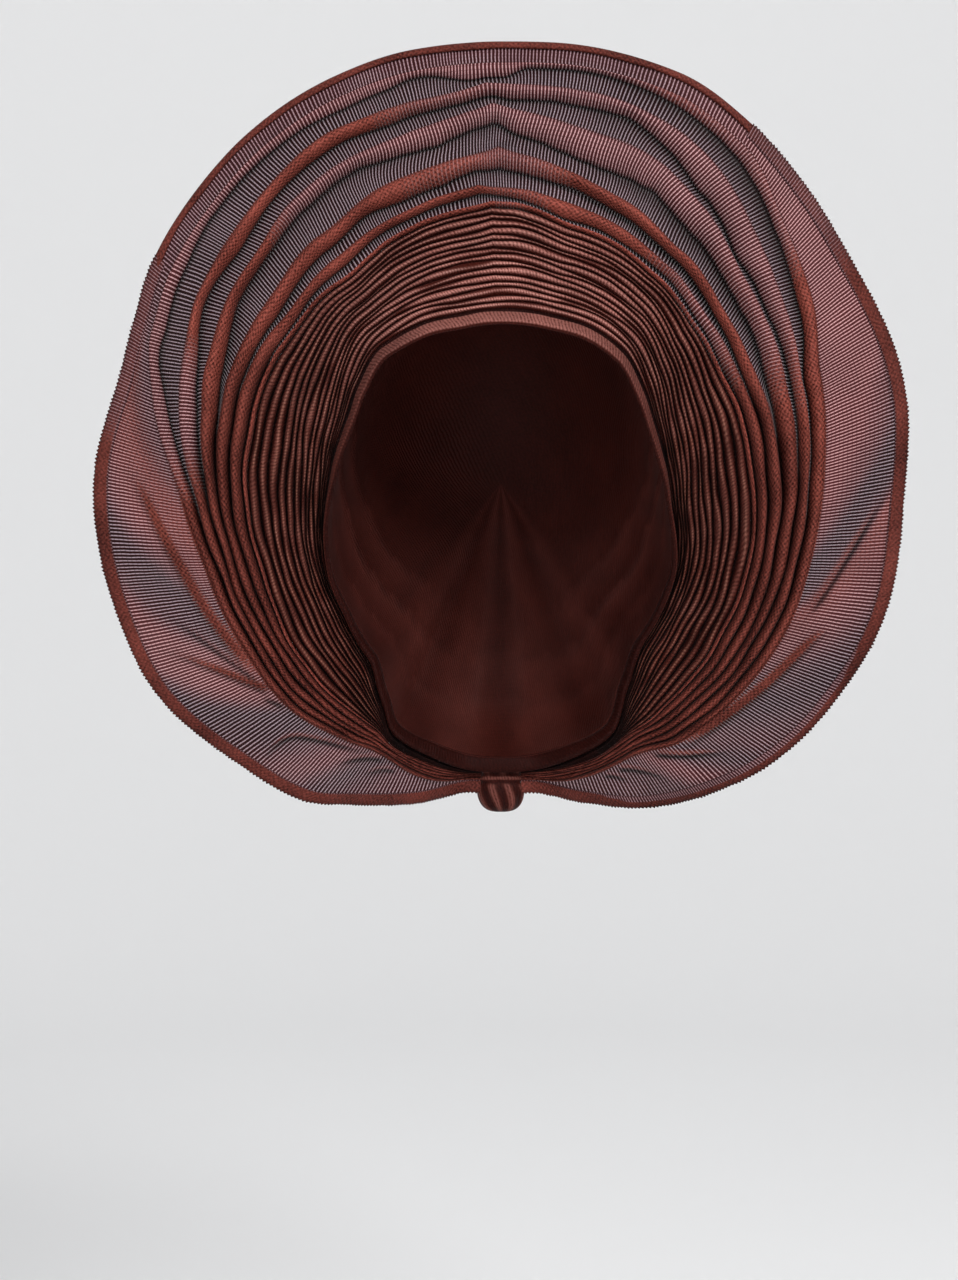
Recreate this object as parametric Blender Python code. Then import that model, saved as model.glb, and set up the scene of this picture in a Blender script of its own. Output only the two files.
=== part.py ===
"""Tied gele head tie: a pleated and fanned cloth round a head band, with a crown cap and a nape knot.

Metres, +Z up, the front of the head tie faces -Y. The origin is the inside of the crown cap, where
the top of the head touches it. The cloth is worked out on rays round the centre of the fan, which
lies in the plane of the ears: 0 degrees is up, negative angles lie at -X.
"""

import math

import bmesh
import bpy
import numpy as np
from mathutils import Vector

# Head that the cloth is tied round
HEAD_WIDTH = 0.152
HEAD_LENGTH = 0.194
HEAD_HEIGHT = 0.196
HEAD_SET_BACK = 0.002

# Fan of cloth
FAN_WIDTH = 0.380
FAN_CENTRE_DROP = 0.1357
TIGHT_PLEATS = 10
PLEAT_DEPTH = 0.0032
FOLD_DEPTH = 0.007
RUFFLE_DEPTH = 0.0075
SELVEDGE_WIDTH = 0.0056

# Walls and fits
CLOTH_WALL = 0.0014
BAND_WALL = 0.0020
BAND_WIDTH = 0.008
CAP_WALL = 0.0015
SELVEDGE_WALL = 0.0018
ROLL_WALL = 0.0034
GAP = 0.0003
PLEAT_SEAT = 0.0006  # between the band's outer face and the first pleat
CAP_SETBACK = 0.0006  # between the band's rear edge and the cap's front edge

# Knot at the nape
KNOT_HEIGHT = 0.034
KNOT_DEPTH = 0.022
KNOT_WIDTH = 0.025
KNOT_HANG = 0.1  # how far its middle hangs below the band's lower edge, as a share of its height

# How finely the cloth is faceted
STATIONS = 52
CAP_ROWS = 7
BRIM_ROWS = 4
STATION_CLEARANCE = 0.4  # least way between two stations, as a share of the even one

# Angles in degrees where the turned top edge gives way to the selvedge, and where the cloth ends
ROLL_FROM = -57.0
ROLL_TO = 38.0
CLOTH_END = 173.0

# Rows of the fan by angle. head is a share of half HEAD_WIDTH, and rim of half FAN_WIDTH.
# fold5 to fold0 are crests of the open folds, as shares of the way from the band to the selvedge.
SECTIONS = [
    # angle, head, fold5, fold4, fold3, fold2, fold1, fold0, rim
    (-180, 1.36, 0.20, 0.33, 0.46, 0.59, 0.73, 0.87, 0.600),
    (-173, 1.36, 0.20, 0.33, 0.46, 0.59, 0.73, 0.87, 0.603),
    (-160, 1.32, 0.12, 0.19, 0.27, 0.35, 0.45, 0.56, 0.660),
    (-148, 1.28, 0.09, 0.13, 0.17, 0.21, 0.25, 0.30, 0.722),
    (-140, 1.16, 0.22, 0.27, 0.31, 0.35, 0.39, 0.43, 0.778),
    (-125, 1.02, 0.34, 0.38, 0.43, 0.48, 0.53, 0.58, 0.837),
    (-110, 1.02, 0.33, 0.37, 0.41, 0.46, 0.50, 0.55, 0.908),
    (-95, 1.06, 0.31, 0.36, 0.41, 0.46, 0.50, 0.56, 0.960),
    (-80, 1.09, 0.35, 0.41, 0.47, 0.52, 0.58, 0.65, 0.996),
    (-65, 1.11, 0.40, 0.47, 0.54, 0.63, 0.74, 0.88, 1.019),
    (-57, 1.14, 0.40, 0.48, 0.55, 0.67, 0.79, 0.96, 1.050),
    (-50, 1.17, 0.39, 0.46, 0.54, 0.67, 0.80, 0.96, 1.092),
    (-40, 1.26, 0.35, 0.41, 0.51, 0.67, 0.80, 0.96, 1.136),
    (-30, 1.34, 0.32, 0.39, 0.50, 0.70, 0.82, 0.96, 1.176),
    (-20, 1.34, 0.35, 0.42, 0.54, 0.71, 0.84, 0.96, 1.203),
    (-10, 1.32, 0.38, 0.45, 0.57, 0.73, 0.84, 0.96, 1.217),
    (0, 1.32, 0.40, 0.46, 0.59, 0.76, 0.86, 0.96, 1.217),
    (10, 1.32, 0.36, 0.42, 0.54, 0.72, 0.86, 0.96, 1.223),
    (20, 1.33, 0.33, 0.39, 0.48, 0.69, 0.84, 0.96, 1.218),
    (30, 1.31, 0.31, 0.37, 0.45, 0.64, 0.80, 0.96, 1.181),
    (40, 1.22, 0.32, 0.38, 0.45, 0.61, 0.74, 0.88, 1.132),
    (50, 1.13, 0.34, 0.40, 0.47, 0.60, 0.69, 0.82, 1.089),
    (60, 1.08, 0.34, 0.40, 0.46, 0.56, 0.63, 0.71, 1.070),
    (75, 1.05, 0.36, 0.41, 0.47, 0.55, 0.60, 0.67, 1.007),
    (90, 1.06, 0.35, 0.40, 0.46, 0.52, 0.58, 0.64, 0.955),
    (105, 1.03, 0.35, 0.40, 0.46, 0.51, 0.57, 0.63, 0.914),
    (120, 1.01, 0.36, 0.41, 0.46, 0.51, 0.56, 0.62, 0.861),
    (135, 1.11, 0.31, 0.36, 0.41, 0.47, 0.53, 0.59, 0.793),
    (148, 1.29, 0.11, 0.15, 0.19, 0.24, 0.29, 0.35, 0.732),
    (160, 1.33, 0.12, 0.19, 0.27, 0.35, 0.45, 0.56, 0.659),
    (173, 1.36, 0.20, 0.33, 0.47, 0.60, 0.73, 0.87, 0.604),
    (180, 1.36, 0.20, 0.33, 0.47, 0.60, 0.73, 0.87, 0.600),
]

# Depth of the cloth by angle from the top, the same at both sides, as shares of HEAD_LENGTH.
# lean is how far the head's surface leans there, in degrees: 90 lies along the ray, 0 across it.
DEPTHS = [
    # angle, head, fold5, rim, lean
    (0, -0.380, -0.315, -0.235, 50),
    (20, -0.330, -0.290, -0.232, 46),
    (40, -0.225, -0.232, -0.211, 36),
    (60, -0.130, -0.165, -0.175, 22),
    (75, -0.020, -0.088, -0.144, 10),
    (90, 0.057, -0.010, -0.113, 0),
    (105, 0.108, 0.041, -0.077, -8),
    (120, 0.155, 0.088, -0.026, -16),
    (135, 0.186, 0.150, 0.045, -26),
    (148, 0.216, 0.216, 0.140, -36),
    (160, 0.290, 0.305, 0.275, -56),
    (173, 0.366, 0.400, 0.405, -82),
    (180, 0.366, 0.400, 0.405, -90),
]

# Heights of the open folds, as shares of FOLD_DEPTH, from the tight pleats outwards
FOLD_HEIGHTS = {"fold5": 0.55, "fold4": 0.7, "fold3": 1.0, "fold2": 1.0, "fold1": 0.9, "fold0": 0.5}
FOLDS = list(FOLD_HEIGHTS)
VALLEY_SHARE = 0.6  # of the way from one crest to the next one outwards
SHOULDER_RISE = 0.35  # height between a crest and its valley, as a share of the crest's
PLEAT_CREST = 0.45  # of the way from one tight pleat to the next one outwards

# Waves of the brim: they start at the tight pleats and open towards the rim
RUFFLES = [
    # angle at the pleats, angle at the rim, half width in degrees, height as a share of RUFFLE_DEPTH
    (-149, -143, 5, 0.8),
    (-134, -130, 6, -0.7),
    (-120, -112, 8, 0.9),
    (-106, -98, 7, -0.8),
    (-98, -78, 8, 0.9),
    (-80, -66, 7, -0.5),
    (72, 60, 8, -0.6),
    (86, 70, 7, 0.7),
    (96, 82, 7, -0.9),
    (112, 98, 9, 0.9),
    (126, 112, 8, -0.7),
    (139, 131, 7, 0.8),
    (152, 147, 5, -0.7),
]

# Gathers of the crown cap that run up from the nape
CAP_GATHERS = 13  # in a whole turn round the head
CAP_GATHER_DEPTH = 0.0022

# How far back from the band the cap still follows the band, as a share of the way to its pole
CAP_HOLD_TOP = 0.35
CAP_HOLD_NAPE = 0.90

MATERIALS = {
    # name: colour, roughness, metallic
    "pleated_gauze": ((0.085, 0.022, 0.018, 1.0), 0.62, 0.0),
    "open_gauze": ((0.105, 0.050, 0.058, 1.0), 0.58, 0.0),
    "selvedge_weave": ((0.120, 0.024, 0.018, 1.0), 0.66, 0.0),
    "cap_cloth": ((0.070, 0.020, 0.018, 1.0), 0.70, 0.0),
}


def smooth_table(rows, column, at):
    """Value of a table's column at a place, with a smooth run through the rows and no overshoot."""
    places = np.array([row[0] for row in rows], float)
    values = np.array([row[column] for row in rows], float)
    slopes = np.diff(values) / np.diff(places)
    tangents = np.zeros(len(values))
    for i in range(1, len(values) - 1):
        if slopes[i - 1] * slopes[i] > 0:
            tangents[i] = 2.0 * slopes[i - 1] * slopes[i] / (slopes[i - 1] + slopes[i])
    i = int(np.clip(np.searchsorted(places, at, side="right") - 1, 0, len(slopes) - 1))
    span = places[i + 1] - places[i]
    t = (at - places[i]) / span
    start = values[i] * (1 + 2 * t) * (1 - t) ** 2 + tangents[i] * span * t * (1 - t) ** 2
    end = values[i + 1] * t * t * (3 - 2 * t) + tangents[i + 1] * span * t * t * (t - 1)
    return float(start + end)


def section(angle):
    """The named radii and depths of the cloth on one ray."""
    side = abs(angle)
    head = smooth_table(SECTIONS, 1, angle) * HEAD_WIDTH / 2
    rim = smooth_table(SECTIONS, 8, angle) * FAN_WIDTH / 2
    depths = [smooth_table(DEPTHS, column, side) * HEAD_LENGTH for column in (1, 2, 3)]
    lean = math.radians(smooth_table(DEPTHS, 4, side))
    crests = {name: smooth_table(SECTIONS, 2 + i, angle) for i, name in enumerate(FOLDS)}
    return {"head": head, "rim": rim, "crests": crests, "lean": lean, "depths": depths}


def on_ray(angle, radius, depth):
    """Point at a distance along a ray of the fan, at a depth behind the plane of the ears."""
    turn = math.radians(angle)
    return Vector((radius * math.sin(turn), depth, radius * math.cos(turn) - FAN_CENTRE_DROP))


def along_head(angle):
    """Unit steps on the head's surface: backwards along it, and out of it."""
    lean = section(angle)["lean"]
    turn = math.radians(angle)
    out = Vector((math.sin(turn), 0.0, math.cos(turn)))
    back = Vector((0.0, 1.0, 0.0))
    return out * math.sin(lean) + back * math.cos(lean), out * math.cos(lean) - back * math.sin(lean)


def head_edge(angle):
    """Front edge of the head band, on the head."""
    here = section(angle)
    return on_ray(angle, here["head"], here["depths"][0])


def inner_edge(angle):
    """Radius and depth where the pleats start, on the band's outer face."""
    here = section(angle)
    back, out = along_head(angle)
    hold = float(np.interp(abs(angle), [110.0, 148.0], [1.0, 0.0]))
    lift = BAND_WALL + PLEAT_SEAT + CLOTH_WALL * max(0.0, -math.sin(here["lean"]))
    spot = head_edge(angle) + back * (BAND_WIDTH * hold) + out * lift
    return math.hypot(spot.x, spot.z + FAN_CENTRE_DROP), spot.y


def ruffle(angle, share):
    """How far the brim waves forwards, from its crests at the pleats to the rim."""
    wave = 0.0
    for at_pleats, at_rim, half_width, height in RUFFLES:
        middle = at_pleats + (at_rim - at_pleats) * share
        away = (angle - middle) / half_width
        wave += height * math.exp(-away * away)
    return RUFFLE_DEPTH * wave * share


def fan_rows(angle):
    """Radius and depth of every row of the cloth on one ray, and the row where the open folds start."""
    here = section(angle)
    radius_in, depth_in = inner_edge(angle)
    rim = here["rim"]
    brim_end = rim - SELVEDGE_WIDTH - GAP
    spread = brim_end - radius_in
    crests = [radius_in + share * spread for share in here["crests"].values()]
    depth_pleats, depth_rim = here["depths"][1:]

    def base(radius):
        """Depth of the cloth without its folds."""
        if radius < crests[0]:
            share = (radius - radius_in) / (crests[0] - radius_in)
            return depth_in + (depth_pleats - depth_in) * share
        share = (radius - crests[0]) / (rim - crests[0])
        return depth_pleats + (depth_rim - depth_pleats) * share

    first_valley = radius_in + (crests[0] - radius_in) * (1 - 0.5 / TIGHT_PLEATS)
    step = (first_valley - radius_in) / TIGHT_PLEATS
    rows = []
    for pleat in range(TIGHT_PLEATS):
        start = radius_in + pleat * step
        height = min(PLEAT_DEPTH, step)
        rows.append((start, base(start)))
        crest = start + PLEAT_CREST * step
        rows.append((crest, base(crest) - height))
    rows.append((first_valley, base(first_valley)))
    split = len(rows) - 1

    ends = crests[1:] + [brim_end]
    for name, crest, following in zip(FOLDS, crests, ends):
        height = min(FOLD_DEPTH * FOLD_HEIGHTS[name], 0.7 * (following - crest))
        rows.append((crest, base(crest) - height))
        if name != "fold0":
            valley = crest + VALLEY_SHARE * (following - crest)
            shoulder = (crest + valley) / 2
            rows.append((shoulder, base(shoulder) - SHOULDER_RISE * height))
            rows.append((valley, base(valley)))
    outer_crest = crests[-1]
    outer_height = rows[-1][1] - base(outer_crest)
    for row in range(1, BRIM_ROWS + 1):
        share = row / BRIM_ROWS
        radius = outer_crest + (brim_end - outer_crest) * share
        depth = base(radius) + outer_height * (1 - share) ** 2 - ruffle(angle, share)
        rows.append((radius, depth))
    return rows, split


def rim_point(angle, share):
    """Radius and depth across the edge strip, from its inner side to the rim."""
    rim = section(angle)["rim"]
    depth_rim = fan_rows(angle)[0][-1][1]
    return rim - SELVEDGE_WIDTH * (1 - share), depth_rim


def clear_scene():
    """Removes the objects of the file that runs this script."""
    for old in list(bpy.data.objects):
        bpy.data.objects.remove(old, do_unlink=True)


def make_material(name):
    """Plain finish of one cloth."""
    colour, roughness, metallic = MATERIALS[name]
    material = bpy.data.materials.new(name)
    material.use_nodes = True
    shader = material.node_tree.nodes["Principled BSDF"]
    shader.inputs["Base Color"].default_value = colour
    shader.inputs["Roughness"].default_value = roughness
    shader.inputs["Metallic"].default_value = metallic
    return material


def link(name, bm, collection, material):
    """Makes an object of a closed mesh under construction, with its faces pointing out."""
    bmesh.ops.recalc_face_normals(bm, faces=bm.faces[:])
    if bm.calc_volume(signed=True) < 0:
        bmesh.ops.reverse_faces(bm, faces=bm.faces[:])
    mesh = bpy.data.meshes.new(name)
    bm.to_mesh(mesh)
    bm.free()
    mesh.materials.append(material)
    obj = bpy.data.objects.new(name, mesh)
    collection.objects.link(obj)
    return obj


def grid_sheet(across, along, place):
    """A grid of faces whose points are put where place(column, row) says."""
    bm = bmesh.new()
    bmesh.ops.create_grid(bm, x_segments=along, y_segments=across, size=1.0)
    for vert in bm.verts:
        column = round((vert.co.x + 1) / 2 * along)
        row = round((vert.co.y + 1) / 2 * across)
        vert.co = place(column, row)
    return bm


def thicken(bm, step):
    """Closes a sheet into a wall: each point gets a copy at step(point)."""
    made = bmesh.ops.extrude_face_region(bm, geom=bm.faces[:], use_keep_orig=True)
    for vert in [part for part in made["geom"] if isinstance(part, bmesh.types.BMVert)]:
        vert.co = vert.co + step(vert.co)


def angles_between(start, end):
    """The fan's station angles from start to end. The ends of the turned top edge are stations too."""
    even = np.linspace(-CLOTH_END, CLOTH_END, STATIONS + 1)
    clear = STATION_CLEARANCE * (even[1] - even[0])
    kept = [at for at in even if min(abs(at - ROLL_FROM), abs(at - ROLL_TO)) > clear]
    stations = sorted(kept + [ROLL_FROM, ROLL_TO])
    return np.array([at for at in stations if start <= at <= end])


def cloth_node(name, collection, material, first_row, last_row):
    """One stretch of the pleated cloth, between two of its rows."""
    angles = angles_between(-CLOTH_END, CLOTH_END)
    lines = [fan_rows(angle)[0][first_row:last_row] for angle in angles]
    if first_row:
        for line in lines:
            line[0] = (line[0][0] + GAP, line[0][1])

    def place(column, row):
        radius, depth = lines[column][row]
        return on_ray(angles[column], radius, depth)

    bm = grid_sheet(len(lines[0]) - 1, len(angles) - 1, place)
    thicken(bm, lambda point: Vector((0.0, -CLOTH_WALL, 0.0)))
    return link(name, bm, collection, material)


def edge_strip(name, collection, material, start, end, wall, rows):
    """Strip along the rim: the turned top edge or a selvedge."""
    angles = angles_between(start, end)
    gap_angle = math.degrees(GAP / (FAN_WIDTH / 2)) / 2
    angles[0] += gap_angle
    angles[-1] -= gap_angle
    swell = [math.sin(math.pi * row / rows) for row in range(rows + 1)]

    def place(column, row):
        radius, depth = rim_point(angles[column], row / rows)
        bulge = (wall - CLOTH_WALL) / 2 * (1 + swell[row])
        return on_ray(angles[column], radius, depth + bulge)

    bm = grid_sheet(rows, len(angles) - 1, place)
    thicken(bm, lambda point: Vector((0.0, -wall, 0.0)))
    return link(name, bm, collection, material)


def head_band(collection, material):
    """Closed band of cloth on the head, which the pleats and the cap start from."""
    angles = np.linspace(-180.0, 180.0, STATIONS + 1)

    def place(column, row):
        back = along_head(angles[column])[0]
        return head_edge(angles[column]) + back * (BAND_WIDTH * row / 2)

    outward = {}
    bm = grid_sheet(2, STATIONS, place)
    bmesh.ops.remove_doubles(bm, verts=bm.verts[:], dist=1e-6)
    for vert in bm.verts:
        turn = math.degrees(math.atan2(vert.co.x, vert.co.z + FAN_CENTRE_DROP))
        outward[tuple(vert.co)] = along_head(turn)[1] * BAND_WALL
    thicken(bm, lambda point: outward[tuple(point)])
    return link("head_band", bm, collection, material)


def head_reach(direction):
    """Distance from the head's centre to its surface."""
    scaled = Vector((
        direction.x / (HEAD_WIDTH / 2),
        direction.y / (HEAD_LENGTH / 2),
        direction.z / (HEAD_HEIGHT / 2),
    ))
    return 1.0 / scaled.length


def cap_point(angle, share):
    """Inside of the crown cap, from the head band to the back of the head."""
    centre = Vector((0.0, HEAD_SET_BACK, -HEAD_HEIGHT / 2))
    back = along_head(angle)[0]
    edge = head_edge(angle) + back * (BAND_WIDTH + CAP_SETBACK) - centre
    pole = Vector((0.0, 1.0, 0.05)).normalized()
    start = edge.normalized()
    direction = start.slerp(pole, share) if share < 1.0 else pole
    fade_end = CAP_HOLD_TOP + (CAP_HOLD_NAPE - CAP_HOLD_TOP) * abs(angle) / 180.0
    fade = max(0.0, 1.0 - share / fade_end)
    hold = fade * fade * (3 - 2 * fade)
    reach = head_reach(direction) + (edge.length - head_reach(start)) * hold
    nape = max(0.0, (abs(angle) - 100.0) / 80.0)
    gathers = 0.5 + 0.5 * math.cos(math.radians(angle) * CAP_GATHERS)
    reach += CAP_GATHER_DEPTH * gathers * nape * math.sin(math.pi * share)
    return centre + direction * reach


def crown_cap(collection, material):
    """Shell of cloth over the crown and the back of the head, open to the front and below."""
    angles = np.linspace(-180.0, 180.0, STATIONS + 1)
    bm = grid_sheet(CAP_ROWS, STATIONS, lambda column, row: cap_point(angles[column], row / CAP_ROWS))
    bmesh.ops.remove_doubles(bm, verts=bm.verts[:], dist=1e-6)
    bmesh.ops.recalc_face_normals(bm, faces=bm.faces[:])
    top = max(bm.faces, key=lambda face: face.calc_center_median().z)
    if top.normal.z < 0:
        bmesh.ops.reverse_faces(bm, faces=bm.faces[:])
    bm.normal_update()
    outward = {}
    for vert in bm.verts:
        turn = math.degrees(math.atan2(vert.co.x, vert.co.z + FAN_CENTRE_DROP))
        way = along_head(turn)[1] if vert.is_boundary else vert.normal
        outward[tuple(vert.co)] = way * CAP_WALL
    thicken(bm, lambda point: outward[tuple(point)])
    return link("crown_cap", bm, collection, material)


def nape_knot(collection, material):
    """Knot of the two cloth ends behind the nape, a wrapped lump with one turn round it."""
    bm = bmesh.new()
    bmesh.ops.create_uvsphere(bm, u_segments=14, v_segments=10, radius=1.0)
    for vert in bm.verts:
        x, y, z = vert.co
        waist = 1.0 - 0.16 * math.exp(-((z / 0.22) ** 2)) + 0.10 * math.exp(-((z / 0.10) ** 2))
        box = (abs(x) ** 3 + abs(y) ** 3 + abs(z) ** 3) ** (1 / 3)
        vert.co = Vector((
            x * waist / box * KNOT_WIDTH / 2,
            y * waist / box * KNOT_DEPTH / 2,
            z / box * KNOT_HEIGHT / 2,
        ))
    edge = head_edge(180.0)
    nearest = min(vert.co.y for vert in bm.verts)
    seat = edge.y + BAND_WALL + GAP - nearest
    bmesh.ops.translate(bm, verts=bm.verts[:], vec=(0.0, seat, edge.z - KNOT_HEIGHT * KNOT_HANG))
    return link("nape_knot", bm, collection, material)


def main():
    """Builds the head tie, one object for each of its pieces."""
    clear_scene()
    parts = bpy.data.collections.new("gele_head_tie")
    bpy.context.scene.collection.children.link(parts)
    finish = {name: make_material(name) for name in MATERIALS}

    rows, split = fan_rows(0.0)
    cloth_node("tight_pleats", parts, finish["pleated_gauze"], 0, split + 1)
    cloth_node("fanned_brim", parts, finish["open_gauze"], split, len(rows))
    edge_strip("left_selvedge", parts, finish["selvedge_weave"], -CLOTH_END, ROLL_FROM, SELVEDGE_WALL, 1)
    edge_strip("rolled_top_edge", parts, finish["selvedge_weave"], ROLL_FROM, ROLL_TO, ROLL_WALL, 2)
    edge_strip("right_selvedge", parts, finish["selvedge_weave"], ROLL_TO, CLOTH_END, SELVEDGE_WALL, 1)
    head_band(parts, finish["pleated_gauze"])
    crown_cap(parts, finish["cap_cloth"])
    nape_knot(parts, finish["pleated_gauze"])
    for part in parts.objects:
        part.data.shade_flat()


main()
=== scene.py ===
"""Looks of a tied gele head tie: folded gauze sheets, a turned top edge, toothed selvedges and a cap.

Metres, +Z up, the front faces -Y. The cloth is worked out on rays round the centre of the fan:
0 degrees is up and negative angles lie at -X. A row of the cloth is one line along the folds.
"""
import logging
import math
from dataclasses import dataclass
from enum import Enum

import bpy
import numpy as np
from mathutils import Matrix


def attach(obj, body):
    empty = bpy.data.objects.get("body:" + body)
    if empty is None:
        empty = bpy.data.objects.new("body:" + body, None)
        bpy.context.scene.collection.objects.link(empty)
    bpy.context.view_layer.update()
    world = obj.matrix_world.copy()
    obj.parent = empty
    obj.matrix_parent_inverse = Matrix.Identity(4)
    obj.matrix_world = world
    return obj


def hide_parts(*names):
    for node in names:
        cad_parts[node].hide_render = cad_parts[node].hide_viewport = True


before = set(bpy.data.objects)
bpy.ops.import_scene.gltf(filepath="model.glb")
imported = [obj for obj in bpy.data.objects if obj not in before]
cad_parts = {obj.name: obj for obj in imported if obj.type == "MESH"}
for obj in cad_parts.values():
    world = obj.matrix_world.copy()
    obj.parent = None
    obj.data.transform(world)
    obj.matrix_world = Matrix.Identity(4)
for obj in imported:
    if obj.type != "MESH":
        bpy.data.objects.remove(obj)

log = logging.getLogger("gele")

ROOT = "root"
WEAVE_UV = "weave"
ZONES = "zones"
OPEN_FOLDS = 5  # over the forehead, counted from the rim inwards

# The cords cross the folds at a right angle, but turn no further than this slope, and neighbours stay
# within these shares of their even spacing
MOST_CORD_SLOPE = 0.35
CLOSEST_CORDS, WIDEST_CORDS = 0.82, 1.2
CORD_SMOOTHING = 6  # columns

# Dry woven thread: hardly any gloss and a trace of sheen
SPECULAR, SHEEN, SHEEN_ROUGHNESS = 0.06, 0.02, 0.4
RELIEF = 0.0004  # height of the threads in metres
FINE_GRAIN = 950.0  # noise scale of the threads' own unevenness, about 1 mm
GRAIN_STEP = (0.36, 0.64)

# Rows of the fan by angle. head is a share of half the head's width, and rim of half the fan's.
# fold5 to fold0 are crests of the open folds, as shares of the way from the band to the selvedge.
SECTIONS = [
    # angle, head, fold5, fold4, fold3, fold2, fold1, fold0, rim
    (-180, 1.36, 0.20, 0.33, 0.46, 0.59, 0.73, 0.87, 0.600),
    (-173, 1.36, 0.20, 0.33, 0.46, 0.59, 0.73, 0.87, 0.603),
    (-160, 1.32, 0.12, 0.19, 0.27, 0.35, 0.45, 0.56, 0.660),
    (-148, 1.28, 0.09, 0.13, 0.17, 0.21, 0.25, 0.30, 0.722),
    (-140, 1.16, 0.22, 0.27, 0.31, 0.35, 0.39, 0.43, 0.778),
    (-125, 1.02, 0.34, 0.38, 0.43, 0.48, 0.53, 0.58, 0.837),
    (-110, 1.02, 0.33, 0.37, 0.41, 0.46, 0.50, 0.55, 0.908),
    (-95, 1.06, 0.31, 0.36, 0.41, 0.46, 0.50, 0.56, 0.960),
    (-80, 1.09, 0.35, 0.41, 0.47, 0.52, 0.58, 0.65, 0.996),
    (-65, 1.11, 0.40, 0.47, 0.54, 0.63, 0.74, 0.88, 1.019),
    (-57, 1.14, 0.40, 0.48, 0.55, 0.67, 0.79, 0.96, 1.050),
    (-50, 1.17, 0.39, 0.46, 0.54, 0.67, 0.80, 0.96, 1.092),
    (-40, 1.26, 0.35, 0.41, 0.51, 0.67, 0.80, 0.96, 1.136),
    (-30, 1.34, 0.32, 0.39, 0.50, 0.70, 0.82, 0.96, 1.176),
    (-20, 1.34, 0.35, 0.42, 0.54, 0.71, 0.84, 0.96, 1.203),
    (-10, 1.32, 0.38, 0.45, 0.57, 0.73, 0.84, 0.96, 1.217),
    (0, 1.32, 0.40, 0.46, 0.59, 0.76, 0.86, 0.96, 1.217),
    (10, 1.32, 0.36, 0.42, 0.54, 0.72, 0.86, 0.96, 1.223),
    (20, 1.33, 0.33, 0.39, 0.48, 0.69, 0.84, 0.96, 1.218),
    (30, 1.31, 0.31, 0.37, 0.45, 0.64, 0.80, 0.96, 1.181),
    (40, 1.22, 0.32, 0.38, 0.45, 0.61, 0.74, 0.88, 1.132),
    (50, 1.13, 0.34, 0.40, 0.47, 0.60, 0.69, 0.82, 1.089),
    (60, 1.08, 0.34, 0.40, 0.46, 0.56, 0.63, 0.71, 1.070),
    (75, 1.05, 0.36, 0.41, 0.47, 0.55, 0.60, 0.67, 1.007),
    (90, 1.06, 0.35, 0.40, 0.46, 0.52, 0.58, 0.64, 0.955),
    (105, 1.03, 0.35, 0.40, 0.46, 0.51, 0.57, 0.63, 0.914),
    (120, 1.01, 0.36, 0.41, 0.46, 0.51, 0.56, 0.62, 0.861),
    (135, 1.11, 0.31, 0.36, 0.41, 0.47, 0.53, 0.59, 0.793),
    (148, 1.29, 0.11, 0.15, 0.19, 0.24, 0.29, 0.35, 0.732),
    (160, 1.33, 0.12, 0.19, 0.27, 0.35, 0.45, 0.56, 0.659),
    (173, 1.36, 0.20, 0.33, 0.47, 0.60, 0.73, 0.87, 0.604),
    (180, 1.36, 0.20, 0.33, 0.47, 0.60, 0.73, 0.87, 0.600),
]
RIM_COLUMN = 8

# Depth of the cloth by angle from the top, the same at both sides, as shares of the head's length.
# lean is how far the head's surface leans there, in degrees: 90 lies along the ray, 0 across it.
DEPTHS = [
    # angle, head, fold5, rim, lean
    (0, -0.380, -0.315, -0.235, 50),
    (20, -0.330, -0.290, -0.232, 46),
    (40, -0.225, -0.232, -0.211, 36),
    (60, -0.130, -0.165, -0.175, 22),
    (75, -0.020, -0.088, -0.144, 10),
    (90, 0.057, -0.010, -0.113, 0),
    (105, 0.108, 0.041, -0.077, -8),
    (120, 0.155, 0.088, -0.026, -16),
    (135, 0.186, 0.150, 0.045, -26),
    (148, 0.216, 0.216, 0.140, -36),
    (160, 0.290, 0.305, 0.275, -56),
    (173, 0.366, 0.400, 0.405, -82),
    (180, 0.366, 0.400, 0.405, -90),
]

# Waves of the brim: they start at the tight pleats and open towards the rim
RUFFLES = [
    # angle at the pleats, angle at the rim, half width in degrees, height as a share of the ruffle's
    (-149, -143, 5, 0.8),
    (-134, -130, 6, -0.7),
    (-120, -112, 8, 0.9),
    (-106, -98, 7, -0.8),
    (-98, -78, 8, 0.9),
    (-80, -66, 7, -0.5),
    (72, 60, 8, -0.6),
    (86, 70, 7, 0.7),
    (96, 82, 7, -0.9),
    (112, 98, 9, 0.9),
    (126, 112, 8, -0.7),
    (139, 131, 7, 0.8),
    (152, 147, 5, -0.7),
]

# Open folds, the outermost first: height as a share of the fold depth, where its crest has a kink in
# degrees, how high the kink is in millimetres, and the seed of its small wanderings
FOLDS = [
    # height, kink angle, kink, seed
    (0.50, 0.0, 0.0, 3),
    (0.90, -2.2, 2.4, 11),
    (1.00, -1.4, 4.2, 17),
    (1.00, -0.7, 3.8, 23),
    (0.75, -4.0, 2.2, 31),
    (0.60, -2.0, 1.6, 41),
]

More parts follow.
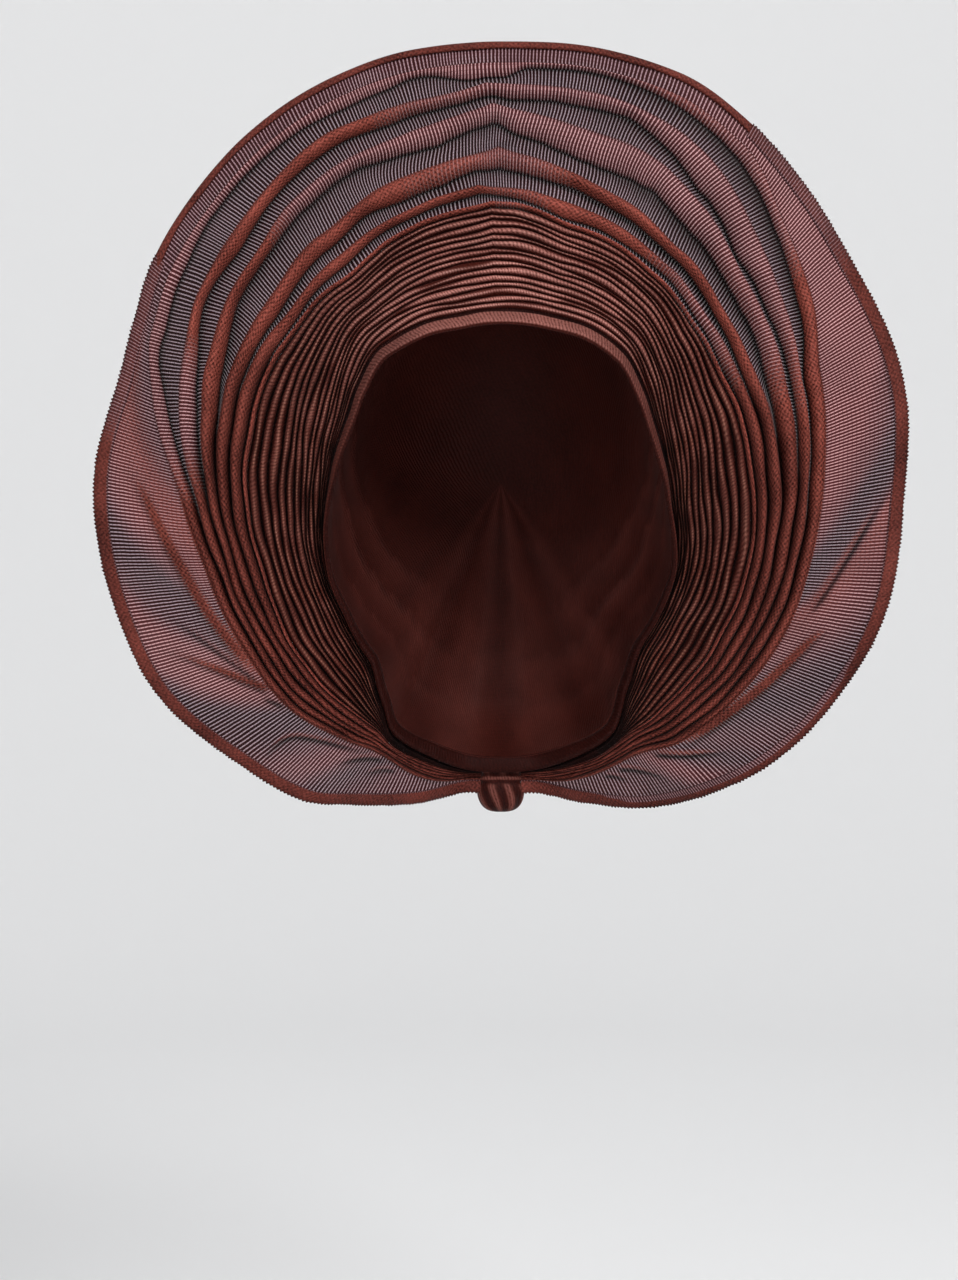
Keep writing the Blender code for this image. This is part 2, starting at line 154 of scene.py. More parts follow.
# Bands of the open folds by angle. Each fold starts at its crest with a band that is turned over: width
# is the band's share of the way to the next crest inwards, and red how densely it is rolled, from an
# open pink band at 0 to a tight red-brown roll at 1.
BANDS = [
    # angle, width0, red0, width1, red1, width2, red2, width3, red3, width4, red4, width5, red5
    (-180, 0.50, 1.0, 0.55, 1.0, 0.55, 1.0, 0.55, 1.0, 0.55, 1.0, 0.50, 1.0),
    (-84, 0.50, 1.0, 0.55, 0.9, 0.55, 1.0, 0.60, 1.0, 0.60, 1.0, 0.50, 1.0),
    (-77, 0.50, 0.5, 0.55, 0.7, 0.55, 1.0, 0.60, 1.0, 0.60, 1.0, 0.50, 1.0),
    (-68, 0.44, 0.2, 0.62, 0.15, 0.48, 1.0, 0.66, 1.0, 0.62, 1.0, 0.50, 1.0),
    (-60, 0.34, 0.2, 0.60, 0.25, 0.44, 1.0, 0.72, 1.0, 0.62, 1.0, 0.50, 1.0),
    (-50, 0.33, 0.1, 0.30, 1.0, 0.32, 1.0, 0.70, 1.0, 0.62, 1.0, 0.50, 1.0),
    (-40, 0.20, 0.1, 0.42, 1.0, 0.26, 0.9, 0.60, 1.0, 0.60, 1.0, 0.50, 1.0),
    (-30, 0.24, 0.1, 0.38, 1.0, 0.30, 0.2, 0.52, 1.0, 0.55, 1.0, 0.50, 1.0),
    (-22, 0.38, 0.0, 0.40, 1.0, 0.27, 0.1, 0.45, 1.0, 0.46, 1.0, 0.50, 1.0),
    (-15, 0.36, 0.0, 0.45, 0.6, 0.40, 0.0, 0.66, 0.7, 0.45, 1.0, 0.50, 1.0),
    (-10, 0.20, 0.0, 0.45, 0.4, 0.48, 0.0, 0.64, 0.6, 0.45, 1.0, 0.50, 1.0),
    (-4, 0.55, 0.1, 0.50, 0.3, 0.38, 0.0, 0.50, 0.5, 0.42, 0.8, 0.50, 1.0),
    (0, 0.62, 0.0, 0.56, 0.2, 0.46, 0.0, 0.50, 0.4, 0.62, 0.6, 0.50, 0.6),
    (3, 0.20, 0.0, 0.45, 0.2, 0.58, 0.0, 0.50, 0.4, 0.72, 0.6, 0.50, 0.7),
    (10, 0.14, 0.1, 0.34, 0.1, 0.60, 0.0, 0.42, 0.7, 0.78, 0.8, 0.50, 0.9),
    (15, 0.18, 0.2, 0.34, 0.1, 0.58, 0.0, 0.46, 1.0, 0.76, 0.9, 0.50, 1.0),
    (20, 0.26, 0.4, 0.45, 0.1, 0.52, 0.0, 0.50, 1.0, 0.74, 0.9, 0.50, 1.0),
    (30, 0.34, 0.3, 0.78, 0.1, 0.52, 0.1, 0.48, 1.0, 0.66, 0.5, 0.50, 0.8),
    (40, 0.34, 0.3, 0.82, 0.2, 0.52, 0.3, 0.50, 1.0, 0.60, 0.3, 0.50, 0.6),
    (50, 0.50, 0.9, 0.76, 0.3, 0.50, 0.3, 0.50, 1.0, 0.60, 0.5, 0.50, 0.8),
    (60, 0.80, 1.0, 0.66, 0.6, 0.52, 0.7, 0.52, 1.0, 0.58, 1.0, 0.50, 1.0),
    (75, 0.86, 1.0, 0.56, 1.0, 0.55, 1.0, 0.55, 1.0, 0.56, 1.0, 0.50, 1.0),
    (95, 0.62, 1.0, 0.55, 1.0, 0.55, 1.0, 0.55, 1.0, 0.55, 1.0, 0.50, 1.0),
    (180, 0.50, 1.0, 0.55, 1.0, 0.55, 1.0, 0.55, 1.0, 0.55, 1.0, 0.50, 1.0),
]

# Height across one fold, from its crest inwards, as places and shares of the fold's height. BAND_SHAPE
# has places within the turned band, FLANK_SHAPE between the band's free edge and the next crest.
BAND_SHAPE = [
    (0.00, 0.78), (0.05, 0.93), (0.14, 1.00), (0.28, 1.04), (0.44, 1.00),
    (0.60, 0.88), (0.76, 0.68), (0.90, 0.42), (1.00, 0.22),
]
FLANK_SHAPE = [
    (0.03, 0.03), (0.08, 0.00), (0.18, 0.09), (0.30, 0.20), (0.43, 0.33),
    (0.56, 0.46), (0.69, 0.58), (0.82, 0.69), (0.93, 0.76),
]

# How dark the painted shade is along the edge rows of a band and of a flank, by their places above: the
# shadow lines at a crest, at a band's free edge and on the flank just behind it
BAND_EDGE_SHADE = {0.00: 0.55, 0.05: 0.10, 0.90: 0.15, 1.00: 0.80}
FLANK_EDGE_SHADE = {0.03: 1.0, 0.08: 0.82, 0.18: 0.32}

# How pink the sheer brim is, by angle at the rim: 0 is a single grey layer, 1 two warm ones. cover is how
# far a second layer closes the gaps, and dense how far the weave itself does.
BRIM_TONES = [
    # angle, pink, cover, dense
    (-180, 0.40, 0.2, 0.0),
    (-150, 0.40, 0.2, 0.0),
    (-142, 0.15, 0.0, 0.0),
    (-134, 0.60, 0.3, 0.1),
    (-122, 0.15, 0.0, 0.0),
    (-113, 0.05, 0.0, 0.0),
    (-106, 0.85, 0.4, 0.1),
    (-98, 0.90, 0.4, 0.1),
    (-92, 0.25, 0.0, 0.0),
    (-84, 0.10, 0.0, 0.0),
    (-79, 0.55, 0.3, 0.2),
    (-72, 0.90, 0.8, 0.3),
    (-64, 0.85, 0.8, 0.4),
    (-57, 0.50, 0.4, 0.3),
    (-45, 0.35, 0.3, 0.0),
    (15, 0.35, 0.3, 0.0),
    (38, 0.90, 0.7, 0.0),
    (50, 0.92, 0.9, 0.0),
    (58, 0.95, 0.9, 0.05),
    (65, 0.60, 0.5, 0.2),
    (71, 0.05, 0.0, 0.0),
    (77, 0.15, 0.0, 0.0),
    (82, 0.90, 0.7, 0.35),
    (92, 0.80, 0.4, 0.15),
    (101, 0.20, 0.1, 0.0),
    (110, 0.05, 0.0, 0.0),
    (121, 0.30, 0.1, 0.0),
    (129, 0.10, 0.0, 0.0),
    (136, 0.75, 0.4, 0.2),
    (142, 0.30, 0.1, 0.0),
    (180, 0.40, 0.2, 0.0),
]

# How far the brim's streaks turn away from the top on their way in from the rim, in degrees
STREAK_TURN = [
    # angle from the top, turn
    (0, 0.0), (40, 0.0), (60, 16.0), (80, 22.0), (100, 20.0), (125, 14.0), (150, 6.0), (180, 0.0),
]

# Creases of the brim, where the gauze doubles over: from their inner to their outer end. A bow over 1
# keeps the inner stretch close to the open folds. dark is how dark the painted shadow beside a crease is.
CREASES = [
    # angle in, share in, angle out, share out, bow, half width mm, red, dark, height mm
    (-118.0, 0.00, -77.5, 0.84, 2.6, 2.9, 0.95, 0.55, 1.8),
    (-119.5, 0.00, -103.5, 0.92, 1.1, 1.9, 0.85, 0.75, 1.4),
    (-117.0, 0.03, -98.5, 0.68, 1.3, 1.5, 0.35, 0.85, 1.1),
    (-123.5, 0.00, -120.0, 0.22, 1.0, 1.6, 0.20, 0.95, 0.8),
    (-147.0, 0.02, -130.0, 0.98, 8.0, 1.3, 0.45, 1.00, 1.2),
    (-149.0, 0.00, -141.0, 0.52, 1.5, 1.8, 0.30, 1.00, 1.2),
    (-153.0, 0.10, -147.0, 0.60, 1.2, 1.4, 0.20, 0.80, 0.9),
    (100.0, 0.14, 78.5, 1.05, 1.3, 2.3, 0.45, 0.95, 1.8),
    (137.0, 0.00, 102.5, 0.64, 2.6, 2.7, 1.00, 0.80, 1.8),
    (141.5, 0.02, 128.5, 0.74, 1.0, 1.9, 0.45, 1.00, 1.4),
    (150.5, 0.05, 142.5, 0.78, 1.2, 1.7, 0.35, 0.95, 1.2),
    (154.0, 0.10, 150.0, 0.60, 1.0, 1.3, 0.20, 0.80, 0.8),
]

# Shadow behind the free edge of the turned bands, by angle: how dark it is at its darkest, and how far it
# reaches, of the way to the next crest
SHADES = [
    # angle, shade, reach
    (-180, 0.3, 0.3), (-90, 0.3, 0.3), (-60, 0.35, 0.30), (-30, 0.35, 0.30), (-10, 0.45, 0.32),
    (0, 0.55, 0.38), (8, 0.45, 0.30), (20, 0.9, 0.50), (35, 1.0, 0.62), (55, 0.95, 0.60),
    (75, 0.5, 0.35), (180, 0.3, 0.3),
]

# Pinkish painted light on the tight pleats by angle: the lit pale pink at the forehead dies out towards the
# nape
PLEAT_TONES = [
    # angle from the top, near the band, near the open folds
    (0, 1.00, 0.50), (20, 0.88, 0.42), (35, 0.50, 0.25), (50, 0.22, 0.12), (70, 0.12, 0.10),
    (90, 0.08, 0.10), (110, 0.05, 0.08), (130, 0.03, 0.05), (180, 0.02, 0.03),
]


class Side(Enum):
    """Side of the fan, as someone who looks at its front sees it."""

    LEFT = "left"
    RIGHT = "right"


def smooth_column(rows: list[tuple], column: int, at: np.ndarray) -> np.ndarray:
    """Values of a table's column at many places, with a smooth run and no overshoot.

    Args:
        rows: the table, with its places in the first column.
        column: the column that is read.
        at: the places.

    Returns:
        One value for each place.
    """
    places = np.array([row[0] for row in rows], float)
    values = np.array([row[column] for row in rows], float)
    slopes = np.diff(values) / np.diff(places)
    tangents = np.zeros(len(values))
    products = slopes[:-1] * slopes[1:]
    sums = np.where(products > 0, slopes[:-1] + slopes[1:], 1.0)
    tangents[1:-1] = np.where(products > 0, 2.0 * products / sums, 0.0)
    at = np.asarray(at, float)
    i = np.clip(np.searchsorted(places, at, side="right") - 1, 0, len(slopes) - 1)
    span = places[i + 1] - places[i]
    t = np.clip((at - places[i]) / span, 0.0, 1.0)
    start = values[i] * (1 + 2 * t) * (1 - t) ** 2 + tangents[i] * span * t * (1 - t) ** 2
    end = values[i + 1] * t * t * (3 - 2 * t) + tangents[i + 1] * span * t * t * (t - 1)
    return start + end


def wander(at: np.ndarray, length: float, seed: int) -> np.ndarray:
    """Smooth irregular wave between about -1 and 1.

    Args:
        at: the places along it.
        length: its usual wave length, in the unit of the places.
        seed: another seed gives another wave.

    Returns:
        One value for each place.
    """
    draw = np.random.default_rng(seed)
    total = np.zeros_like(np.asarray(at, float))
    for pitch in (0.55, 0.8, 1.0, 1.45, 2.1):
        total += np.sin(2 * math.pi * (at / (length * pitch) + draw.random())) * draw.uniform(0.5, 1.0)
    return total / 2.2


def ease(low: float, high: float, at: np.ndarray) -> np.ndarray:
    """Smooth step from 0 at low to 1 at high."""
    t = np.clip((at - low) / (high - low), 0.0, 1.0)
    return t * t * (3 - 2 * t)


def bundle(*values: object) -> np.ndarray:
    """Numbers and lines of numbers stacked along a new last axis."""
    return np.stack(np.broadcast_arrays(*values), axis=-1)


@dataclass(frozen=True)
class HeadSize:
    """Head that the cloth is tied round, in metres."""

    width: float = 0.152
    length: float = 0.194
    height: float = 0.196
    set_back: float = 0.002


@dataclass(frozen=True)
class ClothSize:
    """Sizes of the tied cloth, in metres."""

    fan_width: float = 0.380
    fan_centre_drop: float = 0.1357
    fold_depth: float = 0.0072
    ruffle_depth: float = 0.0075
    selvedge_width: float = 0.0056
    roll_width: float = 0.0028
    gap: float = 0.0003
    cloth_wall: float = 0.0014
    band_wall: float = 0.0020
    band_width: float = 0.008
    pleat_seat: float = 0.0006
    cloth_end: float = 174.7
    roll_from: float = -57.0
    roll_to: float = 38.0


class FanShape:
    """Where the cloth lies: its radii, depths and directions by angle."""

    SPLIT_SHARE = 0.95  # where the tight pleats end, of the way from the band to the first open fold
    EDGE_BLEND = 12  # degrees over which the turned edge gives way to the selvedge
    KINK_REACH = 2.3  # degrees over which a crest's kink dies out
    OPEN_TOP = (45.0, 80.0)  # from the top the folds are open, and beyond it they close
    BAND_ENDS = [110.0, 148.0]  # where the pleats leave the band's back edge and where they reach its front

    def __init__(self, head: HeadSize, cloth: ClothSize) -> None:
        """Keeps the sizes.

        Args:
            head: the head's sizes.
            cloth: the cloth's sizes.
        """
        self.head = head
        self.cloth = cloth

    def head_radius(self, angles: np.ndarray) -> np.ndarray:
        """Radius of the band's front edge."""
        return smooth_column(SECTIONS, 1, angles) * self.head.width / 2

    def rim(self, angles: np.ndarray) -> np.ndarray:
        """Radius of the fan's outer edge."""
        return smooth_column(SECTIONS, RIM_COLUMN, angles) * self.cloth.fan_width / 2

    def brim_end(self, angles: np.ndarray) -> np.ndarray:
        """Radius where the sheer cloth gives way to its edge strip."""
        return self.rim(angles) - self.cloth.selvedge_width - self.cloth.gap

    def edge_width(self, angles: np.ndarray) -> np.ndarray:
        """Width of the strip along the rim: the turned top edge is slimmer than the selvedge."""
        cloth = self.cloth
        top = ease(0, self.EDGE_BLEND, np.minimum(angles - cloth.roll_from, cloth.roll_to - angles))
        return cloth.selvedge_width + (cloth.roll_width - cloth.selvedge_width) * top

    def gauze_end(self, angles: np.ndarray) -> np.ndarray:
        """Radius where the brim's sheer cloth ends, under the strip along the rim."""
        return self.rim(angles) - self.edge_width(angles) - self.cloth.gap

    def depth(self, angles: np.ndarray, column: int) -> np.ndarray:
        """Depth of one column of DEPTHS, in metres."""
        return smooth_column(DEPTHS, column, np.abs(angles)) * self.head.length

    def on_ray(self, angles: np.ndarray, radius: np.ndarray, depth: np.ndarray) -> np.ndarray:
        """Points at a distance along rays of the fan.

        Args:
            angles: degrees from straight up.
            radius: distances from the fan's centre.
            depth: distances behind the plane of the ears.

        Returns:
            The points, one in each row.
        """
        turn = np.radians(angles)
        return bundle(radius * np.sin(turn), depth, radius * np.cos(turn) - self.cloth.fan_centre_drop)

    def along_head(self, angles: np.ndarray) -> tuple[np.ndarray, np.ndarray]:
        """Unit steps on the head's surface.

        Args:
            angles: degrees from straight up.

        Returns:
            The steps backwards along the surface, and those out of it.
        """
        lean = np.radians(smooth_column(DEPTHS, 4, np.abs(angles)))[..., None]
        turn = np.radians(angles)
        ray = bundle(np.sin(turn), 0.0, np.cos(turn))
        behind = np.array([0.0, 1.0, 0.0])
        back = ray * np.sin(lean) + behind * np.cos(lean)
        out = ray * np.cos(lean) - behind * np.sin(lean)
        return back, out

    def head_edge(self, angles: np.ndarray) -> np.ndarray:
        """Points of the band's front edge, on the head."""
        return self.on_ray(angles, self.head_radius(angles), self.depth(angles, 1))

    def inner_edge(self, angles: np.ndarray) -> tuple[np.ndarray, np.ndarray]:
        """Radius and depth where the pleats start, on the band's outer face."""
        cloth = self.cloth
        back, out = self.along_head(angles)
        lean = np.radians(smooth_column(DEPTHS, 4, np.abs(angles)))
        hold = np.interp(np.abs(angles), self.BAND_ENDS, [1.0, 0.0])
        lift = cloth.band_wall + cloth.pleat_seat + cloth.cloth_wall * np.maximum(0.0, -np.sin(lean))
        spot = self.head_edge(angles) + back * (cloth.band_width * hold)[:, None] + out * lift[:, None]
        return np.hypot(spot[:, 0], spot[:, 2] + cloth.fan_centre_drop), spot[:, 1]

    def tucked_edge(self, angles: np.ndarray) -> tuple[np.ndarray, np.ndarray]:
        """Radius and depth where the pleats' hidden edge rests on the band."""
        cloth = self.cloth
        back, out = self.along_head(angles)
        hold = np.interp(np.abs(angles), self.BAND_ENDS, [0.8, 0.3])
        spot = self.head_edge(angles) + back * (cloth.band_width * hold)[:, None]
        spot = spot + out * cloth.band_wall * 0.9
        return np.hypot(spot[:, 0], spot[:, 2] + cloth.fan_centre_drop), spot[:, 1]

    def crest(self, angles: np.ndarray, fold: int) -> np.ndarray:
        """Radius of an open fold's crest, with its kink and its small wanderings.

        Args:
            angles: degrees from straight up.
            fold: 0 for the outermost fold, 5 for the innermost.

        Returns:
            One radius for each angle.
        """
        _, kink_at, kink, seed = FOLDS[fold]
        inner = self.inner_edge(angles)[0]
        spread = self.brim_end(angles) - inner
        radius = inner + smooth_column(SECTIONS, 7 - fold, angles) * spread
        open_top = 1.0 - ease(*self.OPEN_TOP, np.abs(angles))
        radius += open_top * kink / 1000 * np.exp(-np.abs(angles - kink_at) / self.KINK_REACH)
        if fold == 0:
            return radius
        loose = 0.0007 * wander(angles, 24.0, seed) + 0.00010 * wander(angles, 7.0, seed + 1)
        return radius + open_top * loose + (1 - open_top) * 0.0006 * wander(angles, 24.0, seed + 2)

    def base(self, angles: np.ndarray, radius: np.ndarray) -> np.ndarray:
        """Depth of the cloth without its folds."""
        inner, depth_inner = self.inner_edge(angles)
        rim = self.rim(angles)
        pleats_end = inner + smooth_column(SECTIONS, 2, angles) * (self.brim_end(angles) - inner)
        depth_pleats, depth_rim = self.depth(angles, 2), self.depth(angles, 3)
        within = np.clip((radius - inner) / (pleats_end - inner), 0.0, 1.0)
        beyond = np.clip((radius - pleats_end) / (rim - pleats_end), 0.0, 1.1)
        tight = depth_inner + (depth_pleats - depth_inner) * within
        return np.where(radius < pleats_end, tight, depth_pleats + (depth_rim - depth_pleats) * beyond)

    def fold_height(self, angles: np.ndarray, fold: int) -> np.ndarray:
        """Height of an open fold, which its room to the next fold outwards limits."""
        outer = self.brim_end(angles) if fold == 0 else self.crest(angles, fold - 1)
        room = outer - self.crest(angles, fold)
        return np.minimum(self.cloth.fold_depth * FOLDS[fold][0], 0.8 * np.maximum(room, 0.0005))

    def ruffle(self, angles: np.ndarray, share: np.ndarray) -> np.ndarray:
        """How far the brim waves forwards, from its crests at the pleats to the rim."""
        wave = np.zeros(np.broadcast(angles, share).shape)
        for at_pleats, at_rim, half_width, height in RUFFLES:
            middle = at_pleats + (at_rim - at_pleats) * share
            wave += height * np.exp(-(((angles - middle) / half_width) ** 2))
        return self.cloth.ruffle_depth * wave * share

    def split(self, angles: np.ndarray) -> np.ndarray:
        """Radius where the tight pleats give way to the open folds."""
        inner = self.inner_edge(angles)[0]
        return inner + (self.crest(angles, 5) - inner) * self.SPLIT_SHARE

    def rim_depth(self, angles: np.ndarray) -> np.ndarray:
        """Depth of the brim's outer end, where the edge strips start."""
        end = self.brim_end(angles)
        return self.base(angles, end) - self.ruffle(angles, np.ones_like(angles))


@dataclass
class SheetRows:
    """A sheet under construction: every array is rows by columns.

    Attributes:
        radius: distance from the fan's centre.
        depth: place along Y.
        dense: how tightly the weave closes, from open gauze to a red-brown roll. On the pleats it is how
            far a point stands out of the valleys, which sets their painted shade and painted light.
        pink: how warm the gaps are. On the pleats it is how far their pinkish painted light reaches.
        shaded_crease: how dark the painted shade is along creases, in valleys and behind the edges of
            folds.
        cover: how far a second layer behind closes the gaps, or where a pleat's painted highlight line
            runs.
    """

    radius: np.ndarray
    depth: np.ndarray
    dense: np.ndarray
    pink: np.ndarray
    shaded_crease: np.ndarray
    cover: np.ndarray


def stack_rows(rows: list[tuple]) -> SheetRows:
    """Rows put together. Each gives its radius, depth and four zones, as numbers or as lines of numbers."""
    return SheetRows(*np.moveaxis(np.array([np.broadcast_arrays(*row) for row in rows]), 1, 0))


def deselect_all() -> None:
    """Leaves nothing selected and no object in edit mode."""
    if bpy.context.object is not None and bpy.context.object.mode != "OBJECT":
        bpy.ops.object.mode_set(mode="OBJECT")
    bpy.ops.object.select_all(action="DESELECT")


def grid_piece(name: str, places: np.ndarray, zones: np.ndarray, weave: np.ndarray) -> bpy.types.Object:
    """A sheet of cloth: a grid whose points are moved to their places.

    Args:
        name: the piece's name.
        places: points, rows by columns by 3.
        zones: colour zones, rows by columns by 4.
        weave: metres across and along the cords at each face row's corners, rows - 1 by 2 by columns by 2.

    Returns:
        The new object.
    """
    rows, columns = places.shape[:2]
    deselect_all()
    bpy.ops.mesh.primitive_grid_add(x_subdivisions=columns - 1, y_subdivisions=rows - 1, size=2.0)
    piece = bpy.context.object
    piece.name = name
    mesh = piece.data
    mesh.name = name
    flat = np.empty(len(mesh.vertices) * 3, np.float32)
    mesh.vertices.foreach_get("co", flat)
    flat = flat.reshape(-1, 3)
    column = np.rint((flat[:, 0] + 1) / 2 * (columns - 1)).astype(int)
    row = np.rint((flat[:, 1] + 1) / 2 * (rows - 1)).astype(int)
    mesh.vertices.foreach_set("co", places[row, column].astype(np.float32).ravel())
    layer = mesh.attributes.new(ZONES, "FLOAT_COLOR", "POINT")
    layer.data.foreach_set("color", zones[row, column].astype(np.float32).ravel())
    corner = np.empty(len(mesh.loops), np.int32)
    mesh.loops.foreach_get("vertex_index", corner)
    lowest = row[corner].reshape(-1, 4).min(axis=1).repeat(4)
    uv = weave[lowest, row[corner] - lowest, column[corner]]
    mesh.uv_layers[0].name = WEAVE_UV
    mesh.uv_layers[0].uv.foreach_set("vector", uv.astype(np.float32).ravel())
    mesh.update()
    mesh.shade_smooth()
    return piece


def face_towards(piece: bpy.types.Object, way: tuple[float, float, float]) -> None:
    """Turns a sheet's faces so that most of them look the given way.

    Args:
        piece: the sheet.
        way: the direction.
    """
    normals = np.empty(len(piece.data.polygons) * 3, np.float32)
    piece.data.polygons.foreach_get("normal", normals)
    if (normals.reshape(-1, 3) @ np.array(way)).sum() < 0:
        piece.data.flip_normals()


def face_from(piece: bpy.types.Object, inside: tuple[float, float, float]) -> None:
    """Turns a sheet's faces away from a point inside it.

    Args:
        piece: the sheet.
        inside: the point.
    """
    count = len(piece.data.polygons)
    normals = np.empty(count * 3, np.float32)
    middles = np.empty(count * 3, np.float32)
    piece.data.polygons.foreach_get("normal", normals)
    piece.data.polygons.foreach_get("center", middles)
    away = middles.reshape(-1, 3) - np.array(inside)
    if (normals.reshape(-1, 3) * away).sum() < 0:
        piece.data.flip_normals()


def weld(piece: bpy.types.Object, distance: float = 1e-6) -> None:
    """Merges the points that lie together, as along a seam."""
    deselect_all()
    piece.select_set(True)
    bpy.context.view_layer.objects.active = piece
    bpy.ops.object.mode_set(mode="EDIT")
    bpy.ops.mesh.select_all(action="SELECT")
    bpy.ops.mesh.remove_doubles(threshold=distance)
    bpy.ops.object.mode_set(mode="OBJECT")


def thicken(piece: bpy.types.Object, wall: float, offset: float) -> None:
    """Closes a sheet into a wall.

    Args:
        piece: the sheet.
        wall: its thickness.
        offset: 1 adds the wall outside, -1 inside.
    """
    solidify = piece.modifiers.new("wall", "SOLIDIFY")
    solidify.thickness = wall
    solidify.offset = offset
    solidify.use_even_offset = False
    deselect_all()
    piece.select_set(True)
    bpy.context.view_layer.objects.active = piece
    bpy.ops.object.modifier_apply(modifier=solidify.name)


def smooth(line: np.ndarray, reach: int) -> np.ndarray:
    """Running mean of a line, with a bell-shaped weight of the given half width in points."""
    weight = np.exp(-((np.arange(-2 * reach, 2 * reach + 1) / reach) ** 2))
    return np.convolve(np.pad(line, 2 * reach, mode="edge"), weight / weight.sum(), mode="valid")


def spread_evenly(cord: np.ndarray, turn: np.ndarray, closest: float, widest: float) -> np.ndarray:
    """Keeps neighbouring cords from bunching up or parting.

    Args:
        cord: angle of the cord at each column.
        turn: angle of each column.
        closest: smallest spacing, as a share of the even one.
        widest: largest spacing, as a share of the even one.

    Returns:
        The evened angles.
    """
    even = np.diff(turn)
    evened = np.concatenate([[0.0], np.cumsum(np.clip(np.diff(cord), closest * even, widest * even))])
    return evened + (cord - evened).mean()


def run_cords(angles: np.ndarray, radius: np.ndarray, start_row: int, straight_rows: int = 0) -> np.ndarray:
    """Follows the cords across the rows: they cross each fold at a right angle.

    Args:
        angles: degrees of the columns.
        radius: radii, rows by columns.
        start_row: the row whose cords lie on their own rays.
        straight_rows: how many of the first rows the cords cross along rays.

    Returns:
        For each point, the angle in radians of the cord that passes there.
    """
    turn = np.radians(angles)
    cord = np.empty_like(radius)
    cord[start_row] = turn

    def follow(row: int, following: int) -> None:
        """Carries the cords from one row on to the next."""
        line = smooth(radius[row], CORD_SMOOTHING)
        most = MOST_CORD_SLOPE if row >= straight_rows else 0.0
        slope = np.clip(np.gradient(line, turn) / line, -most, most)
        step = (smooth(radius[following], CORD_SMOOTHING) - line) / line
        moved = np.maximum.accumulate(turn - slope * step)
        carried = np.interp(turn, moved, cord[row])
        cord[following] = spread_evenly(carried, turn, CLOSEST_CORDS, WIDEST_CORDS)

    for row in range(start_row, len(radius) - 1):
        follow(row, row + 1)
    for row in range(start_row, 0, -1):
        follow(row, row - 1)
    return cord


def weave_places(places: np.ndarray, cord: np.ndarray, turn: np.ndarray, reach: np.ndarray) -> np.ndarray:
    """Metres across and along the cords for the corners of every face row.

    Args:
        places: points, rows by columns by 3.
        cord: angle of the cord at each point in radians, rows by columns.
        turn: angle of each column in radians.
        reach: radius at which the cords are evenly spaced, one number or one for each face row and column.

    Returns:
        The places, rows - 1 by 2 by columns by 2.
    """
    along = np.zeros(places.shape[:2])
    along[1:] = np.cumsum(np.linalg.norm(np.diff(places, axis=0), axis=-1), axis=0)
    reach = np.broadcast_to(reach, (len(places) - 1, len(turn)))
    steps = (reach[:, 1:] + reach[:, :-1]) / 2 * np.diff(turn)
    even = np.concatenate([np.zeros((len(reach), 1)), np.cumsum(steps, axis=1)], axis=1)
    corners = [
        [np.interp(cord[row + side], turn, line) for side in (0, 1)] for row, line in enumerate(even)]
    return bundle(np.array(corners), np.stack([along[:-1], along[1:]], axis=1))


def linear(code: str) -> tuple[float, float, float, float]:
    """Linear colour of an sRGB hex value.

    Args:
        code: the colour as #rrggbb.

    Returns:
        Red, green, blue and 1.
    """
    parts = [int(code[i:i + 2], 16) / 255 for i in (1, 3, 5)]
    return (*[p / 12.92 if p <= 0.04045 else ((p + 0.055) / 1.055) ** 2.4 for p in parts], 1.0)


def add_node(
        tree: bpy.types.NodeTree, kind: str, inputs: dict | None = None,
        **settings: object) -> bpy.types.Node:
    """Adds a node with its settings, values and links.

    Args:
        tree: the node tree.
        kind: the node's type, without ShaderNode.
        inputs: sockets by name or number, each with a value or an output socket to link.
        settings: the node's own settings.

    Returns:
        The new node.
    """
    node = tree.nodes.new("ShaderNode" + kind)
    for key, value in settings.items():
        setattr(node, key, value)
    for key, value in (inputs or {}).items():
        if isinstance(value, bpy.types.NodeSocket):
            tree.links.new(value, node.inputs[key])
        else:
            node.inputs[key].default_value = value
    return node


